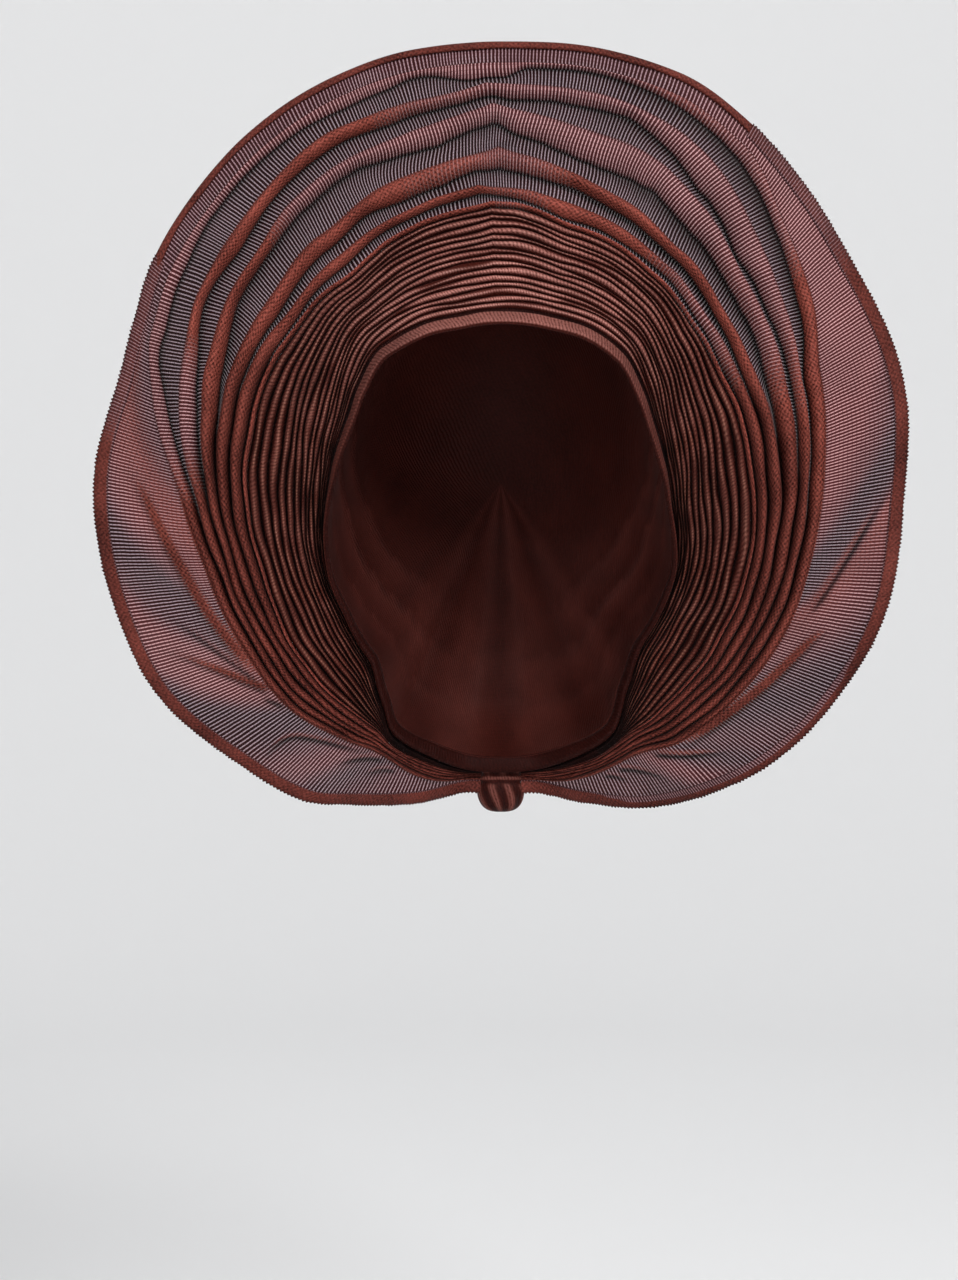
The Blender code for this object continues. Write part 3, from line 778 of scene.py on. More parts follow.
class ClothNodes:
    """Nodes of one cloth material: its weave, its zones, and short ways to write sums and mixes."""

    def __init__(self, name: str) -> None:
        """Starts the material.

        Args:
            name: the material's name.
        """
        self.material = bpy.data.materials.new(name)
        self.material.use_nodes = True
        self.tree = self.material.node_tree
        self.tree.nodes.clear()
        self.uv = add_node(self.tree, "UVMap", uv_map=WEAVE_UV).outputs[0]
        self.place = add_node(self.tree, "SeparateXYZ", {0: self.uv}).outputs
        zones = add_node(self.tree, "Attribute", attribute_name=ZONES)
        zone = add_node(self.tree, "SeparateColor", {0: zones.outputs["Color"]})
        self.zones = (zone.outputs[0], zone.outputs[1], zone.outputs[2], zones.outputs["Alpha"])

    def math(self, kind: str, a: object, b: object = 0.0, c: object = 0.0) -> bpy.types.NodeSocket:
        """Result of a sum of up to three values.

        Args:
            kind: the operation.
            a: first value or socket.
            b: second value or socket.
            c: third value or socket.

        Returns:
            The result's socket.
        """
        return add_node(self.tree, "Math", {0: a, 1: b, 2: c}, operation=kind).outputs[0]

    def step(self, value: object, low: float, high: float) -> bpy.types.NodeSocket:
        """Smooth step of a socket from 0 at low to 1 at high."""
        settings = {"interpolation_type": "SMOOTHSTEP"}
        return add_node(self.tree, "MapRange", {0: value, 1: low, 2: high}, **settings).outputs[0]

    def colour(self, share: object, a: object, b: object, blend: str = "MIX") -> bpy.types.NodeSocket:
        """Mix of two colours.

        Args:
            share: how far it goes from a to b.
            a: first colour or socket.
            b: second colour or socket.
            blend: the blend type.

        Returns:
            The mixed colour's socket.
        """
        node = add_node(self.tree, "Mix", {0: share, 6: a, 7: b}, data_type="RGBA", blend_type=blend)
        return node.outputs[2]

    def value(self, share: object, a: object, b: object) -> bpy.types.NodeSocket:
        """Mix of two values."""
        return add_node(self.tree, "Mix", {0: share, 2: a, 3: b}, data_type="FLOAT").outputs[0]

    def noise(self, scale: float, detail: float) -> bpy.types.NodeSocket:
        """Noise over the weave."""
        inputs = {"Vector": self.uv, "Scale": scale, "Detail": detail}
        return add_node(self.tree, "TexNoise", inputs).outputs[0]

    def ribs(self, count: object) -> bpy.types.NodeSocket:
        """Even ribs: 0.5 at every whole number, 0 halfway between two."""
        return self.math("ABSOLUTE", self.math("SUBTRACT", self.math("FRACT", count), 0.5))

    def shade(self, colour: object, share: object) -> bpy.types.NodeSocket:
        """Colour made lighter or darker by a factor."""
        grey = add_node(self.tree, "CombineColor", {0: share, 1: share, 2: share}).outputs[0]
        return self.colour(1.0, colour, grey, "MULTIPLY")

    def finish(
            self, colour: object, relief: object, strength: float, roughness: float,
            alpha: object = 1.0) -> bpy.types.Material:
        """Ends the tree with the shader.

        Args:
            colour: the cloth's colour.
            relief: how far the threads stand out.
            strength: how strongly that shows.
            roughness: the cloth's roughness.
            alpha: how far it covers what is behind.

        Returns:
            The finished material.
        """
        bump = add_node(self.tree, "Bump", {"Strength": strength, "Distance": RELIEF, "Height": relief})
        shader = add_node(self.tree, "BsdfPrincipled", {
            "Base Color": colour, "Alpha": alpha, "Normal": bump.outputs[0], "Roughness": roughness,
            "Sheen Weight": SHEEN, "Sheen Roughness": SHEEN_ROUGHNESS, "Specular IOR Level": SPECULAR,
        })
        output = add_node(self.tree, "OutputMaterial")
        self.tree.links.new(shader.outputs[0], output.inputs[0])
        return self.material


@dataclass(frozen=True)
class GauzeFinish:
    """Stiff ribbed gauze, woven of dark wine cords with fine pale filament between them.

    The gaps are about a third of the pitch. Where the cloth is rolled or lies double, the gaps close and
    it looks a dense red-brown with a fine slanting check.
    """

    name: str
    cord: str = "#160a0b"
    warm_cord: str = "#471e1f"
    gap: str = "#84707a"
    warm_gap: str = "#b98a8a"
    roll_light: str = "#8a453a"
    roll_shade: str = "#2e0c08"
    # Colour of the painted shade along creases, in valleys and behind the edges of folds
    shaded_crease: str = "#100303"
    cord_pitch: float = 0.00152  # 1.3 mm in the cloth, drawn coarser so that it shows
    check_pitch: float = 0.0025  # about 2 mm in the cloth, drawn coarser so that it shows
    check_depth: float = 0.36
    weft_pitch: float = 0.0021  # about 1 mm in the cloth, drawn coarser so that it shows
    gap_alpha: float = 0.88
    warm_alpha: float = 0.95
    roughness: float = 0.52

    def make(self) -> bpy.types.Material:
        """Builds the material.

        Returns:
            The new material.
        """
        nodes = ClothNodes(self.name)
        dense, pink, shaded_crease, cover = nodes.zones
        tone = nodes.noise(38.0, 3.0)
        stray = nodes.math("SUBTRACT", nodes.noise(140.0, 2.0), 0.5)
        across = nodes.math("MULTIPLY_ADD", stray, 0.00055, nodes.place[0])
        count = nodes.math("DIVIDE", across, self.cord_pitch)
        cord = nodes.step(nodes.ribs(count), 0.09, 0.22)
        number = nodes.math("FLOOR", count)
        thread = add_node(nodes.tree, "TexWhiteNoise", {"W": number}, noise_dimensions="1D").outputs[0]
        weft = nodes.step(nodes.ribs(nodes.math("DIVIDE", nodes.place[1], self.weft_pitch)), 0.34, 0.47)
        gap = nodes.colour(pink, linear(self.gap), linear(self.warm_gap))
        gap = nodes.colour(nodes.math("MULTIPLY", weft, 0.5), gap, linear(self.cord))
        fibre = nodes.colour(pink, linear(self.cord), linear(self.warm_cord))
        fibre = nodes.colour(nodes.math("MULTIPLY", thread, 0.25), fibre, linear(self.roll_shade))
        turns = 2 * math.pi / self.check_pitch
        waves = [nodes.math("SINE", nodes.math("MULTIPLY", way, turns)) for way in (across, nodes.place[1])]
        check = nodes.math("MULTIPLY", *waves)
        light = nodes.math("MULTIPLY_ADD", tone, 0.9, -0.12)
        light = nodes.math("MULTIPLY_ADD", check, self.check_depth, light)
        grain = nodes.step(nodes.noise(FINE_GRAIN, 1.0), *GRAIN_STEP)
        light = nodes.math("MULTIPLY_ADD", grain, 0.42, light)
        roll = nodes.colour(light, linear(self.roll_shade), linear(self.roll_light))
        closed = nodes.step(dense, 0.15, 0.75)
        colour = nodes.colour(closed, nodes.colour(cord, gap, fibre), roll)
        colour = nodes.shade(colour, nodes.math("MULTIPLY_ADD", tone, 0.55, 0.72))
        # Painted shade: darkens towards the shade colour along creases, in valleys and behind folds' edges
        colour = nodes.colour(shaded_crease, colour, linear(self.shaded_crease))
        sheer = nodes.value(cover, nodes.value(pink, self.gap_alpha, self.warm_alpha), 1.0)
        covered = nodes.math("MAXIMUM", closed, shaded_crease)
        alpha = nodes.math("MAXIMUM", nodes.value(cord, sheer, 1.0), covered)
        relief = nodes.math("MULTIPLY_ADD", check, dense, cord)
        return nodes.finish(colour, relief, 0.35, self.roughness, alpha)


@dataclass(frozen=True)
class PleatFinish:
    """The same gauze folded many times over: opaque, with its cords end-on along every ridge.

    The zones give how far a point stands out of the valleys, which sets painted shade in the valleys and on
    the flanks and painted light on the ridges; how far a pinkish painted light reaches; how dark the
    painted shade along creases is; and where the painted highlight line of a crest runs.
    """

    name: str
    # Painted highlight: the ridge light; the pink colours do the same under the pinkish painted light.
    # Painted shade by height: the valley and flank colours; the ridge colour is the lit cloth.
    valley_shade: str = "#080101"
    flank_shade: str = "#290a06"
    ridge: str = "#4e2018"
    ridge_highlight: str = "#93604f"
    pink_lit: str = "#b87a70"
    pink_highlight: str = "#bd8e85"
    pink_valley_shade: str = "#44160f"
    cord_pitch: float = 0.0015  # about 1.2 mm in the cloth, drawn coarser so that it shows
    roughness: float = 0.55

    def make(self) -> bpy.types.Material:
        """Builds the material.

        Returns:
            The new material.
        """
        nodes = ClothNodes(self.name)
        rise, pink_light, shaded_crease, crest = nodes.zones
        stray = nodes.math("SUBTRACT", nodes.noise(260.0, 2.0), 0.5)
        slant = nodes.math("MULTIPLY_ADD", nodes.place[1], 0.3, nodes.place[0])
        across = nodes.math("MULTIPLY_ADD", stray, 0.0014, slant)
        cord = nodes.step(nodes.ribs(nodes.math("DIVIDE", across, self.cord_pitch)), 0.10, 0.40)
        grain = nodes.step(nodes.noise(FINE_GRAIN, 1.0), *GRAIN_STEP)
        # Painted light on the ridges and painted shade on the flanks, by how far a point stands out
        lit = nodes.colour(pink_light, linear(self.ridge), linear(self.pink_lit))
        dark = nodes.colour(nodes.math("MULTIPLY", pink_light, 0.55), linear(self.flank_shade), linear(self.ridge))
        shaded = nodes.math("MULTIPLY_ADD", cord, 0.45, -0.10)
        shaded = nodes.math("MULTIPLY_ADD", grain, 0.55, shaded)
        colour = nodes.colour(nodes.step(rise, 0.50, 1.0), dark, nodes.colour(shaded, lit, dark))
        # Painted highlight along each crest line, broken by the cords and the grain
        crest_highlight = nodes.math("MULTIPLY", crest, nodes.math("MULTIPLY_ADD", cord, -0.6, 1.0))
        crest_highlight = nodes.math("MULTIPLY", crest_highlight, nodes.math("MULTIPLY_ADD", grain, -0.6, 1.0))
        light = nodes.colour(pink_light, linear(self.ridge_highlight), linear(self.pink_highlight))
        colour = nodes.colour(crest_highlight, colour, light)
        # Painted shade in the valleys
        deep = nodes.colour(pink_light, linear(self.valley_shade), linear(self.pink_valley_shade))
        colour = nodes.colour(nodes.step(rise, 0.08, 0.72), deep, colour)
        patch = nodes.math("MULTIPLY_ADD", nodes.noise(45.0, 3.0), 0.8, 0.40)
        colour = nodes.shade(colour, nodes.math("MULTIPLY_ADD", grain, 0.40, patch))
        # Painted shade along creases, in the valley colour
        colour = nodes.colour(shaded_crease, colour, linear(self.valley_shade))
        return nodes.finish(colour, cord, 0.4, self.roughness)


@dataclass
class TightPleats:
    """The dense pleats round the face, from the band to the first open fold."""

    shape: FanShape
    pleats: int = 15
    pleat_depth: float = 0.0042
    rows_in_pleat: int = 9
    steepest: float = 1.25  # height for each width of a pleat
    full_room: float = 0.0024  # width from which a pleat's ridge stands clear of its neighbours
    # Width of the painted highlight along each ridge, as a share of a pleat
    highlight_width: float = 0.085
    # How dark the painted shade is in the valleys between pleats
    painted_valley_shade: float = 0.75
    columns: int = 620
    name: str = "tight_pleats_cloth"

    def ridge_share(self, angles: np.ndarray, line: int) -> np.ndarray:
        """Where the groove between two pleats lies, of the way from the band to the open folds."""
        hidden = 1.0 + 1.3 * ease(25.0, 80.0, np.abs(angles))
        share = (line / self.pleats) ** hidden
        if 0 < line < self.pleats:
            share += 0.30 / self.pleats * wander(angles, 44.0, 100 + line)
            share += 0.04 / self.pleats * wander(angles, 13.0, 200 + line)
        return share

    def rows(self, angles: np.ndarray) -> SheetRows:
        """Works out the pleats.

        Args:
            angles: degrees of the columns.

        Returns:
            The sheet's rows, from the band outwards.
        """
        inner = self.shape.inner_edge(angles)[0]
        end = self.shape.split(angles)
        tucked = self.shape.tucked_edge(angles)
        rows = [(tucked[0], 0.0, 0.0, 0.0, self.painted_valley_shade, 0.0)]
        for pleat in range(self.pleats):
            low = inner + (end - inner) * self.ridge_share(angles, pleat)
            high = inner + (end - inner) * self.ridge_share(angles, pleat + 1)
            tall = 1.0 + 0.28 * wander(angles, 28.0, 300 + pleat)
            room = np.maximum(high - low, 0.0004)
            height = np.minimum(self.pleat_depth * tall, self.steepest * room)
            lean = 0.45 + 0.10 * wander(angles, 24.0, 400 + pleat)
            # Strength of the painted highlight, varying along each ridge
            highlight_strength = np.clip(0.62 + 0.45 * wander(angles, 17.0, 450 + pleat), 0.0, 1.0)
            for place in range(self.rows_in_pleat):
                t = place / self.rows_in_pleat
                bent = np.where(t < lean, t / lean * 0.5, 0.5 + (t - lean) / (1 - lean) * 0.5)
                ridge = np.sin(math.pi * bent) ** 0.75
                # Painted light on the ridges and painted shade in the valleys, by how far a point stands
                # out
                rise = ridge * np.clip(tall, 0.6, 1.1) * np.clip(room / self.full_room, 0.0, 1.0)
                # Painted highlight line along the top of each ridge
                crest = np.exp(-(((t - lean) / self.highlight_width) ** 2)) * highlight_strength
                shaded_crease = self.painted_valley_shade if place == 0 else 0.0
                rows.append((low + room * t, height * ridge, rise, 0.0, shaded_crease, crest))
        rows.append((end, 0.0, 0.0, 0.0, self.painted_valley_shade, 0.0))
        made = stack_rows(rows)
        made.depth = np.array([self.shape.base(angles, line) for line in made.radius]) - made.depth
        made.depth[0] = tucked[1]
        share = np.linspace(0.0, 1.0, len(rows))[:, None]
        side = np.abs(angles)
        at_band, at_folds = (smooth_column(PLEAT_TONES, column, side) for column in (1, 2))
        # Pinkish painted light: strongest near the band, fading towards the open folds and the nape
        pink_light = at_band * (1 - share) + at_folds * share
        made.pink = np.clip(pink_light + 0.18 * wander(angles, 13.0, 77) * (1 - share), 0, 1)
        return made

    def build(self) -> bpy.types.Object:
        """Builds the sheet.

        Returns:
            The new piece.
        """
        end = self.shape.cloth.cloth_end
        angles = np.linspace(-end, end, self.columns)
        rows = self.rows(angles)
        cord = run_cords(angles, rows.radius, len(rows.radius) // 2)
        places = self.shape.on_ray(angles[None, :], rows.radius, rows.depth)
        zones = bundle(rows.dense, rows.pink, rows.shaded_crease, rows.cover)
        weave = weave_places(places, cord, np.radians(angles), rows.radius.mean(axis=0))
        piece = grid_piece(self.name, places, zones, weave)
        face_towards(piece, (0.0, -1.0, 0.0))
        return piece

    def dress(self, piece: bpy.types.Object, finish: bpy.types.Material) -> None:
        """Gives the sheet its finish and its place in the part.

        Args:
            piece: the sheet.
            finish: its material.
        """
        piece.data.materials.append(finish)
        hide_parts("tight_pleats")
        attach(piece, ROOT)


@dataclass
class FannedBrim:
    """The open folds over the forehead and the sheer ruffled brim, as one folded sheet."""

    shape: FanShape
    columns: int = 760
    brim_rows: int = 28
    inner_rows: int = 6
    crease_points: int = 70
    closed_from: float = 84.0
    closed_step: float = 8.0
    closed_width: float = 0.86
    roll_rise: float = 0.0018
    name: str = "fanned_brim_cloth"

    def band(self, angles: np.ndarray, fold: int) -> tuple[np.ndarray, np.ndarray]:
        """Width and redness of a fold's turned band.

        Args:
            angles: degrees of the columns.
            fold: 0 for the outermost fold.

        Returns:
            The band's share of the way to the next crest, and how tightly it is rolled.
        """
        width = smooth_column(BANDS, 1 + 2 * fold, angles)
        red = smooth_column(BANDS, 2 + 2 * fold, angles)
        loose = (1.0 - red) * wander(angles, 6.0, 520 + fold)
        width = width * (1 + 0.07 * wander(angles, 16.0, 500 + fold) + 0.04 * loose)
        closed_at = self.closed_from - self.closed_step * fold
        closing = ease(closed_at - 24.0, closed_at - 2.0, np.abs(angles))
        width = width + (self.closed_width - width) * closing
        return np.clip(width, 0.10, 0.90), np.clip(red, 0, 1)

    def fold_rows(self, angles: np.ndarray, fold: int) -> list[tuple[np.ndarray, ...]]:
        """Rows of one fold, from its crest inwards.

        Args:
            angles: degrees of the columns.
            fold: 0 for the outermost fold.

        Returns:
            Radius, lift, dense, pink, crease and cover of each row.
        """
        start = self.shape.crest(angles, fold)
        end = self.shape.crest(angles, fold + 1)
        height = self.shape.fold_height(angles, fold)
        following = self.shape.fold_height(angles, fold + 1)
        width, red = self.band(angles, fold)
        closed_at = self.closed_from - self.closed_step * fold
        closed = ease(closed_at - 10.0, closed_at, np.abs(angles))
        rows = []
        for place, rise in BAND_SHAPE:
            share = place * width
            roll = self.roll_rise * red * math.sin(math.pi * place) * np.clip(height / 0.004, 0, 1)
            dense = red * (1.0 if place < 1 else 0.8)
            # Painted shade: deep across the bands where the folds close at the sides, and shadow lines at
            # their edges
            shade = closed * (0.25 + 1.3 * abs(place - 0.35) ** 1.5)
            shaded_crease = np.maximum(BAND_EDGE_SHADE.get(place, 0.0), shade)
            rows.append((start + (end - start) * share, height * rise + roll, dense, 0.85 - 0.1575 * place,
                         shaded_crease, 0.35 + 0.3 * red))
        _, kink_at, kink, _ = FOLDS[fold + 1]
        dark, dark_reach = (smooth_column(SHADES, column, angles) for column in (1, 2))
        for place, rise in FLANK_SHAPE:
            share = width + (1 - width) * place
            # Painted shadow: a dark notch on the flank running in to the next crest's kink
            kink_shadow_at = kink_at + 3.5 * (1 - place)
            kink_shadow = 0.16 * kink * (0.4 + 0.6 * place) * np.exp(-(((angles - kink_shadow_at) / 0.6) ** 2))
            here = height + (following - height) * place
            pink = 0.06 + 0.35 * ease(0.55, 1.0, place) * closed
            # Painted shade over flanks where the folds close, and the painted shadow behind the band's free
            # edge
            shade = np.maximum(closed * (0.92 - 0.35 * place), dark * np.exp(-((place / dark_reach) ** 2)))
            shaded_crease = np.maximum(np.maximum(FLANK_EDGE_SHADE.get(place, 0.0), kink_shadow), shade)
            rows.append((start + (end - start) * share, here * rise, closed * 0.75, pink, shaded_crease, 0.0))
        return rows

    def last_rows(self, angles: np.ndarray) -> list[tuple[np.ndarray, ...]]:
        """Rows from the innermost crest down to the tight pleats."""
        start = self.shape.crest(angles, OPEN_FOLDS)
        end = self.shape.split(angles)
        height = self.shape.fold_height(angles, OPEN_FOLDS)
        red = self.band(angles, OPEN_FOLDS)[1]
        rows = []
        for row in range(self.inner_rows + 1):
            place = row / self.inner_rows
            lift = height * (0.8 + 0.2 * math.sin(math.pi * place)) * (1 - place ** 2)
            # Painted shade deepening towards the tight pleats
            rows.append((start + (end - start) * place, lift, red, 0.6, 0.85 * ease(0.55, 1.0, place), 0.6))
        return rows

    def crease_line(self, shaded_crease: tuple) -> np.ndarray:
        """Points along one of the brim's creases, in millimetres, seen from the front.

        Args:
            shaded_crease: a row of CREASES.

        Returns:
            The points, from its inner to its outer end.
        """
        angle_in, share_in, angle_out, share_out, bow = shaded_crease[:5]
        along = np.linspace(0.0, 1.0, self.crease_points)
        at = angle_out + (angle_in - angle_out) * (1 - along) ** bow
        at = at - 1.2 * np.sin(math.pi * along) * np.sign(angle_in)
        share = share_in + (share_out - share_in) * along
        inner = self.shape.crest(at, 0)
        radius = (inner + (self.shape.gauze_end(at) - inner) * share) * 1000
        return bundle(radius * np.sin(np.radians(at)), radius * np.cos(np.radians(at)))

    def press_creases(self, angles: np.ndarray, radius: np.ndarray, rows: SheetRows) -> None:
        """Presses the creases into the brim.

        Args:
            angles: degrees of the columns.
            radius: radii of the brim, rows by columns.
            rows: the brim's rows, which are changed. Its depth holds the lift here.
        """
        turn = np.radians(angles)
        spots = 1000 * bundle(radius * np.sin(turn), radius * np.cos(turn))
        for shaded_crease in CREASES:
            half, red, dark, tall = shaded_crease[5:]
            line = self.crease_line(shaded_crease)
            near = np.abs(angles - shaded_crease[0]) < abs(shaded_crease[0] - shaded_crease[2]) + 12.0
            near |= np.abs(angles - shaded_crease[2]) < 12.0
            away = spots[:, near, None, :] - line[None, None]
            distance = np.linalg.norm(away, axis=-1)
            closest = distance.argmin(axis=-1)
            along = closest / (self.crease_points - 1)
            tangent = np.gradient(line, axis=0)
            tangent = tangent / np.linalg.norm(tangent, axis=-1, keepdims=True)
            gap = np.take_along_axis(away, closest[..., None, None], axis=2)[:, :, 0]
            way = tangent[closest]
            beside = (way[..., 0] * gap[..., 1] - way[..., 1] * gap[..., 0]) * np.sign(shaded_crease[0])
            held = ease(-0.02, 0.10, along) * (1 - ease(0.40, 1.0, along))
            wide = half * (1.25 - 0.75 * along)
            body = np.exp(-((distance.min(axis=-1) / wide) ** 2)) * held
            shadow = np.exp(-(((beside + 0.95 * wide) / 1.2) ** 2)) * held
            shadow = shadow * (distance.min(axis=-1) < 2.6 * wide + 2.0)
            rows.dense[:, near] = np.maximum(rows.dense[:, near], red * body)
            rows.pink[:, near] = np.maximum(rows.pink[:, near], 0.7 * body)
            # Painted shadow beside each crease, and painted shade over its doubled body
            painted_crease_shade = np.maximum(dark * shadow, 0.42 * red * body)
            rows.shaded_crease[:, near] = np.maximum(rows.shaded_crease[:, near], painted_crease_shade)
            rows.depth[:, near] += tall / 1000 * (body - 0.6 * shadow)

    def brim(self, angles: np.ndarray) -> list[tuple[np.ndarray, ...]]:
        """Rows of the sheer brim, from its outer end in to the outermost crest."""
        start = self.shape.gauze_end(angles)
        end = self.shape.crest(angles, 0)
        inner_height = self.shape.fold_height(angles, 0) * BAND_SHAPE[0][1]
        shares = 1.0 - (np.arange(self.brim_rows) / self.brim_rows)
        rows = []
        for share in shares:
            lift = inner_height * (1 - share) ** 2 + self.shape.ruffle(angles, np.full_like(angles, share))
            turn = np.sign(angles) * smooth_column(STREAK_TURN, 1, np.abs(angles)) * (1 - share)
            at = angles - turn + 1.2 * wander(angles, 30.0, 61) * share
            pink, cover, dense = (smooth_column(BRIM_TONES, column, at) for column in (1, 2, 3))
            # Painted shade line where the brim runs in under the outermost crest
            shaded_crease = 0.45 * math.exp(-((share / 0.03) ** 2))
            rows.append((end + (start - end) * share, lift, dense, pink, shaded_crease, cover))
        made = stack_rows(rows)
        self.press_creases(angles, made.radius, made)
        return list(zip(made.radius, made.depth, made.dense, made.pink, made.shaded_crease, made.cover))

    def build(self) -> bpy.types.Object:
        """Builds the sheet.

        Returns:
            The new piece.
        """
        end = self.shape.cloth.cloth_end
        angles = np.linspace(-end, end, self.columns)
        rows = self.brim(angles)
        for fold in range(OPEN_FOLDS):
            rows += self.fold_rows(angles, fold)
        rows += self.last_rows(angles)
        made = stack_rows(rows)
        base = np.array([self.shape.base(angles, line) for line in made.radius])
        places = self.shape.on_ray(angles[None, :], made.radius, base - made.depth)
        start_row = self.brim_rows + 2 * (len(BAND_SHAPE) + len(FLANK_SHAPE))
        cord = run_cords(angles, made.radius, start_row, self.brim_rows)
        sizes = [self.brim_rows, *[len(BAND_SHAPE), len(FLANK_SHAPE)] * OPEN_FOLDS, self.inner_rows + 1]
        strip = np.repeat(np.arange(len(sizes)), sizes)
        reach = np.array([made.radius[strip == number].mean(axis=0) for number in strip[:-1]])
        zones = bundle(made.dense, made.pink, np.clip(made.shaded_crease, 0, 1), np.clip(made.cover, 0, 1))
        weave = weave_places(places, cord, np.radians(angles), reach)
        piece = grid_piece(self.name, places, zones, weave)
        face_towards(piece, (0.0, -1.0, 0.0))
        return piece

    def dress(self, piece: bpy.types.Object, finish: bpy.types.Material, hems: list) -> None:
        """Gives the sheet its finish and its place in the part.

        Args:
            piece: the sheet.
            finish: its material.
            hems: the pieces along its edge; not used.
        """
        piece.data.materials.append(finish)
        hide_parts("fanned_brim")
        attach(piece, ROOT)


@dataclass
class RolledTopEdge:
    """The turned top edge of the fan, with its free hem behind the front layer."""

    shape: FanShape
    columns: int = 420
    roll_rows: int = 14
    hem_rows: int = 8
    roll_depth: float = 0.0034
    overlap: float = 0.0008
    hem_width: float = 0.0075
    taper_degrees: float = 12.0
    front_share: float = 0.62  # of the roll's depth, in front of the rim
    back_share: float = 0.42
    rim_gap: float = 0.0002
    name: str = "rolled_top_edge_cloth"

    def build(self) -> bpy.types.Object:
        """Builds the edge.

        Returns:
            The new piece.
        """
        cloth = self.shape.cloth
        angles = np.linspace(cloth.roll_from, cloth.roll_to, self.columns)
        rim = self.shape.rim(angles)
        depth = self.shape.rim_depth(angles)
        to_end = np.minimum(angles - cloth.roll_from, cloth.roll_to - angles)
        ends = ease(0, self.taper_degrees, to_end)
        full = 0.25 + 0.75 * ends
        width = (self.shape.edge_width(angles) + self.overlap) * (1 + 0.06 * wander(angles, 11.0, 601))
        thick = self.roll_depth * full * (1 + 0.10 * wander(angles, 8.0, 602))
        rows, zones = [], []
        for row in range(self.roll_rows):
            turn = math.pi * row / (self.roll_rows - 1)
            front = self.front_share * max(0.0, math.sin(turn)) ** 0.8
            back = self.back_share * (1 - math.cos(turn)) / 2
            across = rim - width * (1 + math.cos(turn)) / 2
            rows.append((across, depth + self.rim_gap + thick * (back - front)))
            # Painted shade along the roll's inner edge, where it leaves the brim
            dark = {0: 0.9, 1: 0.45, 2: 0.15}.get(row, 0.0)
            zones.append(bundle(1.0, 0.8, dark, np.ones_like(angles)))
        uneven = 0.35 * wander(angles, 13.0, 603) + 0.2 * wander(angles, 5.0, 604)
        hem = self.hem_width * (1 + uneven) * ends
        for row in range(1, self.hem_rows + 1):
            share = row / self.hem_rows
            y = depth + self.rim_gap + thick * self.back_share + 0.0005 * math.sin(math.pi * share)
            rows.append((rim - (hem + 0.0004) * share, y))
            dense = 0.9 if share > 0.88 else 0.0
            # Painted shadow line along the hem's free edge
            dark = 0.5 if row == self.hem_rows else 0.0
            zones.append(bundle(dense, 0.7, dark, np.full_like(angles, 0.3)))
        radius, y = np.moveaxis(np.array(rows), 1, 0)
        places = self.shape.on_ray(angles[None, :], radius, y)
        cord = np.broadcast_to(np.radians(angles), radius.shape)
        weave = weave_places(places, cord, np.radians(angles), rim)
        piece = grid_piece(self.name, places, np.array(zones), weave)
        face_towards(piece, (0.0, -1.0, 0.2))
        return piece

    def dress(self, piece: bpy.types.Object, finish: bpy.types.Material) -> None:
        """Gives the edge its finish and its place in the part.

        Args:
            piece: the edge.
            finish: its material.
        """
        piece.data.materials.append(finish)
        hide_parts("rolled_top_edge")
        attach(piece, ROOT)


@dataclass
class Selvedge:
    """Dense woven edge of the brim on one side, with the cut ends of its cords as small teeth."""

    shape: FanShape
    side: Side
    rows: int = 6
    points_in_tooth: int = 4
    tooth_pitch: float = 0.0019  # about 1.3 mm in the cloth, drawn coarser so that it shows
    tooth_height: float = 0.0008
    wall: float = 0.0006
    overlap: float = 0.0010

    def build(self) -> bpy.types.Object:
        """Builds the strip.

        Returns:
            The new piece.
        """
        cloth = self.shape.cloth
        if self.side is Side.LEFT:
            start, end = -cloth.cloth_end, cloth.roll_from + 8.0
        else:
            start, end = cloth.roll_to - 8.0, cloth.cloth_end
        coarse = np.linspace(start, end, 400)
        points = self.shape.on_ray(coarse, self.shape.rim(coarse), self.shape.rim_depth(coarse))
        run = np.concatenate([[0.0], np.cumsum(np.linalg.norm(np.diff(points, axis=0), axis=-1))])
        teeth = int(run[-1] / self.tooth_pitch)
        place = np.linspace(0.0, run[-1], teeth * self.points_in_tooth + 1)
        angles = np.interp(place, run, coarse)
        rim, depth = self.shape.rim(angles), self.shape.rim_depth(angles)
        tooth = 0.5 + 0.5 * np.cos(2 * math.pi * np.arange(len(angles)) / self.points_in_tooth)
        tooth = tooth * (1 + 0.3 * wander(place, 0.013, 700)) - 0.5
        thin = 1.0 - 0.45 * ease(100.0, 112.0, angles) * (1 - ease(150.0, 160.0, angles))
        width = cloth.selvedge_width + self.overlap
        places, zones = [], []
        for row in range(self.rows):
            share = row / (self.rows - 1)
            radius = rim - width * (1 - share) + self.tooth_height * tooth * share ** 3
            curl = 0.0007 * wander(angles, 14.0, 710) * share + 0.0003 * math.sin(math.pi * share)
            places.append(self.shape.on_ray(angles, radius, depth - 0.0004 - curl))
            # Painted shade along the strip's inner edge, where it lies on the brim; also darker towards the
            # teeth and where thin
            edge = 0.35 if row == 0 else 0.5 * share ** 4
            dark = np.clip(edge + 0.5 * (1 - thin) * share, 0, 1)
            closed = ease(0.95 - thin, 1.15 - thin, share)
            closed = closed * (1 - 0.6 * ease(-80.0, -68.0, angles) * (1 - ease(42.0, 60.0, angles)))
            zones.append(bundle(closed, 0.5, dark, closed))
        places = np.array(places)
        cord = np.broadcast_to(place, places.shape[:2])
        name = f"{self.side.value}_selvedge_cloth"
        piece = grid_piece(name, places, np.array(zones), weave_places(places, cord, place, 1.0))
        face_towards(piece, (0.0, -1.0, 0.0))
        thicken(piece, self.wall, -1.0)
        return piece

    def dress(self, piece: bpy.types.Object, finish: bpy.types.Material) -> None:
        """Gives the strip its finish and its place in the part.

        Args:
            piece: the strip.
            finish: its material.
        """
        piece.data.materials.append(finish)
        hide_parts(f"{self.side.value}_selvedge")
        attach(piece, ROOT)


